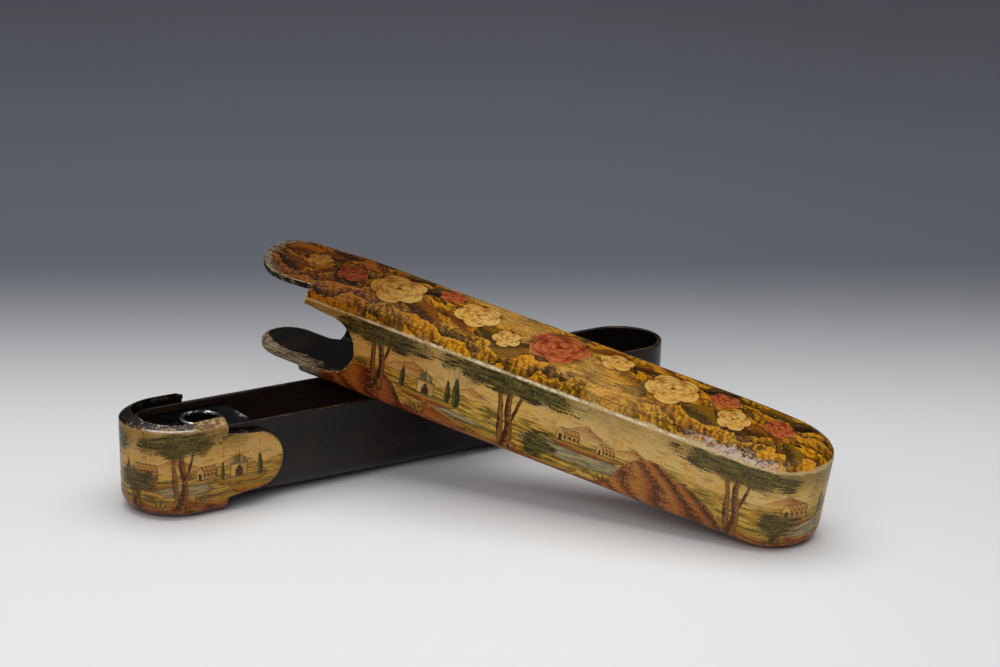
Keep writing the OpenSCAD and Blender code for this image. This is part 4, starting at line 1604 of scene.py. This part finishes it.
def top_material(name):
    """Painted and varnished top: amber ground, a winding stem, leaves, pale drifts and flowers, a worn
    crease, a rubbed tongue and flakes of varnish that lift along the near edge."""
    material = new_material(name, Coat_Weight=0.06, Coat_Roughness=0.1, IOR=1.1)
    tree = material.node_tree
    own, rim = attribute(material, "own"), attribute(material, "rim", "Fac")
    crease = parts(attribute(material, "wrap"))[2]
    x, y, _ = parts(own)
    wobble, sway, dabs, strokes, mottle, *_ = brushwork(tree, vector=together(x, y))
    px, py = x + wobble * 0.45, y + sway * 0.45
    colour = gilded(tree, x=px, y=py, wobble_x=wobble, wobble_y=sway,
                    dabs=dabs, strokes=strokes, mottle=mottle)
    colour = scroll(tree, under=colour, x=px, y=py, wave=58.0, swing=6.0, start=8.0)
    fields = dict(x=px, y=py, dabs=dabs, strokes=strokes)
    colour = paint_flowers(tree, colour, leaf, TOP_LEAVES, fields)
    colour = glaze(colour, "f8de5a", 0.9)
    drift = (x * 0.055 + y * 0.13 + sway * 0.9 + strokes * 2.0).sine().ramp(-0.1, 0.9)
    drift = drift * x.ramp(60, 95) * x.ramp(185, 150)
    pale = over("a98a52", "dfc992", (strokes * 0.6 + dabs * 0.4).ramp(0.42, 0.58))
    colour = over(colour, pale, drift * 0.7)
    colour = paint_flowers(tree, colour, rose, TOP_ROSES, fields)
    colour = over(colour, "2c1808", (crease - 2.6).line(0.12, 0.1) * strokes.ramp(0.4, 0.5) * 0.8)
    colour = glaze(colour, "f8e29c", 0.7)
    colour = glaze(colour, "a08230", x.ramp(90, 40) * 0.9)
    colour, rough, height = aged(tree, colour=colour, vector=own, amount=1.0)
    crinkle = noise(own, 0.7, 4, 0.7)
    # Pale flakes of lifting varnish near the closed end, partly a painted highlight there
    lifted = (crease + (strokes - 0.5) * 9.0 + (crinkle - 0.5) * 9.0 - 1.6).ramp(2.0, 0.0)
    lifted = lifted * x.ramp(180, 198) * x.ramp(226, 214) * crinkle.ramp(0.38, 0.54) * y.ramp(-9, -12) * 0.85
    # Painted highlights: bright specks near the crease
    glints = noise(own, 1.5, 3, 0.6).ramp(0.66, 0.72) * (crease + (crinkle - 0.5) * 8.0).ramp(7.0, 1.0) * 0.7
    lifted = lifted.high(glints)
    rubbed = (rim + (crinkle - 0.5) * 7.0).ramp(4.0, 1.0) * x.ramp(20, 9) * 0.7
    colour = over(colour, over("8c8676", "4a4238", crinkle.ramp(0.42, 0.58)), rubbed)
    worn = worn_edges(tree, own, rim, crease, 1.0)
    # Pale flakes with painted highlights, then the worn ground
    colour = over(over(colour, "e2cdbc", lifted), ground_colour(own), worn)
    # Painted highlight along the crease
    colour = over(colour, "fbf0d2", crease_glint(own, crease))
    return dress(material, colour, rough + worn * 0.3, height - worn * 0.5 + lifted * 0.9, 0.1)


def under_material(name):
    """Underside: red-brown lacquer with fine gold stems in rows."""
    material = new_material(name, Coat_Weight=0.4, Coat_Roughness=0.15)
    tree = material.node_tree
    own = attribute(material, "own")
    x, y, _ = parts(own)
    row = (y / 11.0 + 0.5).fraction() * 11.0 - 5.5
    slow = noise(own, 0.06, 4, 0.6)
    colour = over("3f1f12", "6b3a1c", slow.ramp(0.38, 0.62))
    colour = scroll(tree, under=colour, x=x, y=row, wave=26.0, swing=3.0, start=0.0)
    colour, rough, height = aged(tree, colour=colour, vector=own, amount=1.0)
    return dress(material, colour, rough + 0.08, height, 0.08)


def torn_strip(own, rim, width, end):
    """Where the lower tongue's near edge is torn: a ragged strip along the cut, widest on the near side,
    which stops at the given end."""
    x, y, z = parts(own)
    ragged = noise(together(x * 0.28, y * 0.7, z), 1.0, 4, 0.65)
    reach = width * (0.55 + (ragged - 0.5) * 1.7) * y.ramp(1, -9)
    return (rim - reach).ramp(0.25, -0.25) * z.ramp(8.5, 6.0) * x.ramp(end, end - 6)


def lining_material(name, torn):
    """Black lacquer inside. Where torn is set, raw pasteboard shows along the edges of the lower tongue."""
    material = new_material(name, IOR=1.15)
    tree = material.node_tree
    own, rim = attribute(material, "own"), attribute(material, "rim", "Fac")
    colour, rough, height = lacquer(tree, vector=own, along=parts(own)[0])
    if torn:
        fibres, relief = raw_board(tree, vector=own)
        bare = torn_strip(own, rim - 2.0, 6.5, 41.0)
        colour, rough, height = over(colour, fibres, bare), rough + bare * 0.5, height + relief * bare * 2.5
    return dress(material, colour, rough, height, 0.12)


def edge_material(name, torn):
    """Cut edges: a cream line of ground at the outer corner, then rubbed black lacquer, or raw pasteboard on
    the lower tongue."""
    material = new_material(name, IOR=1.2)
    tree = material.node_tree
    own = attribute(material, "own")
    x, y, z = parts(own)
    across = parts(attribute(material, "wrap"))[2]
    colour, rough, height = lacquer(tree, vector=own, along=x)
    fibres, relief = raw_board(tree, vector=own)
    patchy = noise(own, 0.35, 3, 0.6)
    bare = patchy.ramp(0.55, 0.66) * (0.6 if torn else 0.2)
    if torn:
        bare = bare.high(z.ramp(8.0, 5.5) * y.ramp(4, -2) * x.ramp(42, 37))
    colour = over(colour, fibres, bare)
    line = (across + (patchy - 0.5) * 0.3).ramp(0.2, 0.1) * patchy.ramp(0.34, 0.44)
    colour = over(colour, tint("gesso"), line * (0.85 if torn else 0.3))
    return dress(material, colour, rough + bare * 0.4 + line * 0.2, height + relief * bare, 0.15)


def band_material(name):
    """Top of the head: black lacquer with remains of ochre paint towards the front and along the crease."""
    material = new_material(name, Coat_Weight=0.12, Coat_Roughness=0.15, Specular_IOR_Level=0.25)
    tree = material.node_tree
    own = attribute(material, "own")
    crease = parts(attribute(material, "wrap"))[2]
    x, y, _ = parts(own)
    colour, rough, height = lacquer(tree, vector=own, along=x)
    flecks = noise(own, 0.55, 4, 0.7)
    left = (flecks - crease * 0.035 - (y + 6).high(0.0) * 0.012 - (x - 10).high(0.0) * 0.012).ramp(0.42, 0.52)
    near = y.ramp(-4, -12)
    bare = (crease - x.ramp(14, 26) * 5.5 + (flecks - 0.5) * 6.0).ramp(0.6, -0.6) * near
    ochre = over("6f471c", "c9a765", flecks.ramp(0.42, 0.6))
    colour = over(colour, ochre, (left * 0.75).high(bare * 0.9))
    # Painted highlight: a pale line along the near crease, where its edge would catch the light
    shine = (crease - 0.6 + (flecks - 0.5) * 0.5).line(0.25, 0.15) * near * x.ramp(1, 6) * x.ramp(21, 15)
    colour = over(colour, "e9dfd8", shine * 0.85)
    worn = crease_wear(own, crease, 0.3) * (1.0 - shine) * (0.3 + bare * 0.7)
    colour = over(colour, tint("gesso"), worn)
    return dress(material, colour, rough + (worn + bare) * 0.2, height + left * 0.3, 0.1)


def tray_material(name, rim_height):
    """Black lacquer of the tray, browner inside, greyed by handling low on its outside and rubbed along the
    rim."""
    material = new_material(name, Coat_Weight=0.1, Coat_Roughness=0.16, Specular_IOR_Level=0.2)
    tree = material.node_tree
    own = attribute(material, "own")
    x, _, z = parts(own)
    inside = parts(attribute(material, "wrap"))[2]
    colour, rough, height = lacquer(tree, vector=own, along=x)
    colour = over(colour, "3c2f26", inside * x.ramp(180, 120) * (0.25 + x.ramp(60, 100) * 0.5))
    # Painted reflection of the pale floor: grey low on the tray's outside, towards its front
    colour = over(colour, "4a4442", z.ramp(24, 3) * x.ramp(135, 60) * inside.ramp(0.4, 0.0) * 0.3)
    worn = worn_line(tree, away=rim_height - z, width=0.4, soft=0.14, vector=own)
    worn = worn * noise(own, 0.06, 3, 0.6).ramp(0.42, 0.6) * x.ramp(36, 48)
    rub = over("2c1d10", "6b5028", noise(own, 0.5, 3, 0.6).ramp(0.45, 0.62))
    return dress(material, over(colour, rub, worn * 0.8), rough + worn * 0.2, height - worn * 0.3, 0.12)


# Middle and half sizes of the bright patch on the inkwell's top, rubbed metal that also gives a painted
# highlight
PATCH_X, PATCH_Y, PATCH_HALF_X, PATCH_HALF_Y = 46.9, -1.0, 2.6, 6.0


def metal_material(name, light, dark, shine, position=None, patch=False):
    """Old metal: bright where it is rubbed, with dark stains, fine scratches and a hammered waviness. Its
    places are the attribute own, unless another source is given. Where patch is set, a scratched bright patch
    lies near the inkwell's back."""
    material = new_material(name, Metallic=1.0)
    vector = position(material) if position else attribute(material, "own")
    x, y, z = parts(vector)
    stain = noise(vector, 0.22, 4, 0.65)
    scratch = noise(together(x * 0.15 + y * 0.1, y * 2.5, z * 2.5), 1.0, 3, 0.7)
    colour = over(light, dark, (stain + (scratch - 0.5) * 0.4).ramp(0.45, 0.62))
    rough = shine + stain.ramp(0.45, 0.7) * 0.25 + scratch.ramp(0.55, 0.7) * 0.12
    if patch:
        # Bright patch near the inkwell's back: partly rubbed metal, partly a painted highlight
        streaks = noise(together(x * 0.25 + y * 0.2, y * 1.4 - x * 0.9), 1.0, 3, 0.6)
        rubbed = distance((x - PATCH_X) / PATCH_HALF_X, (y - PATCH_Y) / PATCH_HALF_Y).ramp(1.0, 0.5)
        rubbed = rubbed * streaks.ramp(0.44, 0.56)
        colour, rough = over(colour, "f2eeea", rubbed), rough + rubbed * 0.3
    return dress(material, colour, rough, noise(vector, 0.13, 2, 0.5) + scratch * 0.05, 0.25)


# The camera's direction over the floor
AHEAD_X, AHEAD_Y = -0.464, 0.886


def floor_material(name):
    """Paper sweep: pale by the box, and a darkening grey behind it, along the camera's direction."""
    material = new_material(name)
    place = object_position(material)
    x, y, _ = parts(place)
    behind = y * AHEAD_Y + x * AHEAD_X
    grain = noise(place, 0.4, 3, 0.6)
    # Painted falloff of the light: the floor greys away from the box along the camera's direction
    colour = over(tint("floor"), tint("backdrop"), behind.ramp(8, 288))
    # Painted falloff: darker far behind, a little darker behind the box and towards the right
    colour = glaze(colour, "d8d6d8", behind.ramp(260, 900))
    colour = glaze(colour, "f5f5f5", behind.ramp(-130, 30))
    colour = glaze(colour, "f3f3f3", (x * AHEAD_Y - y * AHEAD_X).ramp(0, 230))
    return dress(material, colour, 0.85 + grain * 0.1, grain, 0.02)


def object_position(material):
    """Object coordinates in millimetres."""
    node = material.node_tree.nodes.new("ShaderNodeTexCoord")
    x, y, z = parts(Wire(material.node_tree, node.outputs["Object"]))
    return together(x / MM, y / MM, z / MM)


def the_box():
    """The box with the sizes that the scene holds."""
    return Box(bpy.context.scene.pen_box_sizes)


class PENBOX_OT_case(bpy.types.Operator):
    """Build the painted outer case"""
    bl_idname = "penbox.case"
    bl_label = "Case"

    def execute(self, context):
        box = the_box()
        materials = [side_material("Outer sides", CASE_SIDES), top_material("Outer top"),
                     under_material("Outer underside"), lining_material("Outer lining", True),
                     edge_material("Outer cut edges", True)]
        make_piece("case_shell", case_sheets(box), box.case, materials, "case", "case", "painted_lacquer",
                   waviness=0.14)
        return {"FINISHED"}


class PENBOX_OT_head(bpy.types.Operator):
    """Build the painted head of the drawer"""
    bl_idname = "penbox.head"
    bl_label = "Drawer head"

    def execute(self, context):
        box = the_box()
        materials = [side_material("Head sides", HEAD_SIDES, True), band_material("Head top"),
                     under_material("Head underside"), lining_material("Head lining", False),
                     edge_material("Head cut edges", False)]
        make_piece("drawer_head_shell", head_sheets(box), box.drawer, materials, "drawer", "drawer_head",
                   "painted_head", waviness=0.08)
        return {"FINISHED"}


class PENBOX_OT_tray(bpy.types.Operator):
    """Build the black tray of the drawer"""
    bl_idname = "penbox.tray"
    bl_label = "Drawer tray"

    def execute(self, context):
        box = the_box()
        materials = [tray_material("Tray lacquer", box.rim_z)]
        make_piece("drawer_tray_shell", tray_sheets(box), box.drawer, materials, "drawer", "drawer_tray",
                   "black_lacquer", waviness=0.04)
        return {"FINISHED"}


class PENBOX_OT_inkwell(bpy.types.Operator):
    """Build the inkwell's top and collar, and finish its body"""
    bl_idname = "penbox.inkwell"
    bl_label = "Inkwell"

    def execute(self, context):
        box = the_box()
        plate = metal_material("Inkwell plate", "403c3a", "16120f", 0.16, patch=True)
        ring = metal_material("Inkwell ring", "d8d4d0", "221d1a", 0.1)
        body = metal_material("Inkwell body", "4c4744", "2a2522", 0.3, object_position)
        make_piece("inkwell_top_shell", plate_sheets(box), box.drawer, [plate],
                   "inkwell", "inkwell_top", "dark_metal")
        make_piece("inkwell_collar_shell", collar_sheets(box), box.drawer, [ring],
                   "inkwell", "inkwell_collar", "bright_metal")
        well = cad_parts["inkwell_body"]
        well.data.materials.clear()
        well.data.materials.append(body)
        return {"FINISHED"}


# Half the floor's width, and each lamp with its place, its width and its power
FLOOR_HALF = 6
LAMPS = (("softbox", (0.0, 0.1, 1.4), 1.9, 14.0), ("front fill", (0.35, -1.25, 0.95), 1.2, 6.5))

# A lamp's height against its width, and the strength of the light all round
LAMP_SHAPE, WORLD_LIGHT = 0.75, 0.45

# The camera, as fitted to the photograph: lens and sensor in millimetres, place in metres and direction
LENS, SENSOR = 128.15, 36.0
EYE, LOOK = (0.55744, -1.09031, 0.45680), (-0.4408, 0.8420, -0.3110)


def facing(direction):
    """Rotation of a lamp or camera that looks in a direction."""
    return Vector(direction).to_track_quat("-Z", "Y").to_euler()


class PENBOX_OT_stage(bpy.types.Operator):
    """Set up the floor, the lamps and the camera"""
    bl_idname = "penbox.stage"
    bl_label = "Stage"

    def execute(self, context):
        scene = context.scene
        mesh = bpy.data.meshes.new("floor")
        corners = [(x * FLOOR_HALF, y * FLOOR_HALF, 0) for x, y in ((-1, -1), (1, -1), (1, 1), (-1, 1))]
        mesh.from_pydata(corners, [], [(0, 1, 2, 3)])
        mesh.materials.append(floor_material("Floor"))
        floor = new_object("floor", mesh)
        for name, place, size, energy in LAMPS:
            light = bpy.data.lights.new(name, "AREA")
            light.shape, light.size, light.size_y, light.energy = "RECTANGLE", size, size * LAMP_SHAPE, energy
            lamp = new_object(name, light)
            lamp.location, lamp.rotation_euler = place, facing(-Vector(place))
        world = bpy.data.worlds.new("studio")
        world.use_nodes = True
        nodes = world.node_tree.nodes
        up = nodes.new("ShaderNodeTexCoord").outputs["Generated"]
        height = parts(Wire(world.node_tree, up))[2]
        colour, strength = nodes["Background"].inputs[:2]
        join(over("50525a", "d8d9dc", height.ramp(0.25, 0.9)), colour)
        strength.default_value = WORLD_LIGHT
        scene.world = world
        camera = bpy.data.cameras.new("camera")
        camera.lens, camera.sensor_width = LENS, SENSOR
        scene.camera = new_object("camera", camera)
        scene.camera.location, scene.camera.rotation_euler = EYE, facing(LOOK)
        scene.view_settings.view_transform = "Standard"
        return {"FINISHED"}


class PENBOX_PT_panel(bpy.types.Panel):
    """Lists the pieces of the pen box"""
    bl_idname = "PENBOX_PT_panel"
    bl_label = "Pen Box"
    bl_space_type = "VIEW_3D"
    bl_region_type = "UI"
    bl_category = "Pen Box"

    def draw(self, context):
        for operator in OPERATORS:
            self.layout.operator(operator.bl_idname)


OPERATORS = (PENBOX_OT_case, PENBOX_OT_head, PENBOX_OT_tray, PENBOX_OT_inkwell, PENBOX_OT_stage)
CLASSES = (PenBoxSizes, PenBoxColours) + OPERATORS + (PENBOX_PT_panel,)


def register():
    for cls in CLASSES:
        bpy.utils.register_class(cls)
    bpy.types.Scene.pen_box_sizes = bpy.props.PointerProperty(type=PenBoxSizes)
    bpy.types.Scene.pen_box_colours = bpy.props.PointerProperty(type=PenBoxColours)


def unregister():
    del bpy.types.Scene.pen_box_colours
    del bpy.types.Scene.pen_box_sizes
    for cls in reversed(CLASSES):
        bpy.utils.unregister_class(cls)


def main():
    """Builds every piece and the stage, and notes the CAD model's box and the visual model's box."""
    register()
    for piece in ("case", "head", "tray", "inkwell", "stage"):
        getattr(bpy.ops.penbox, piece)()


if __name__ == "__main__":
    main()
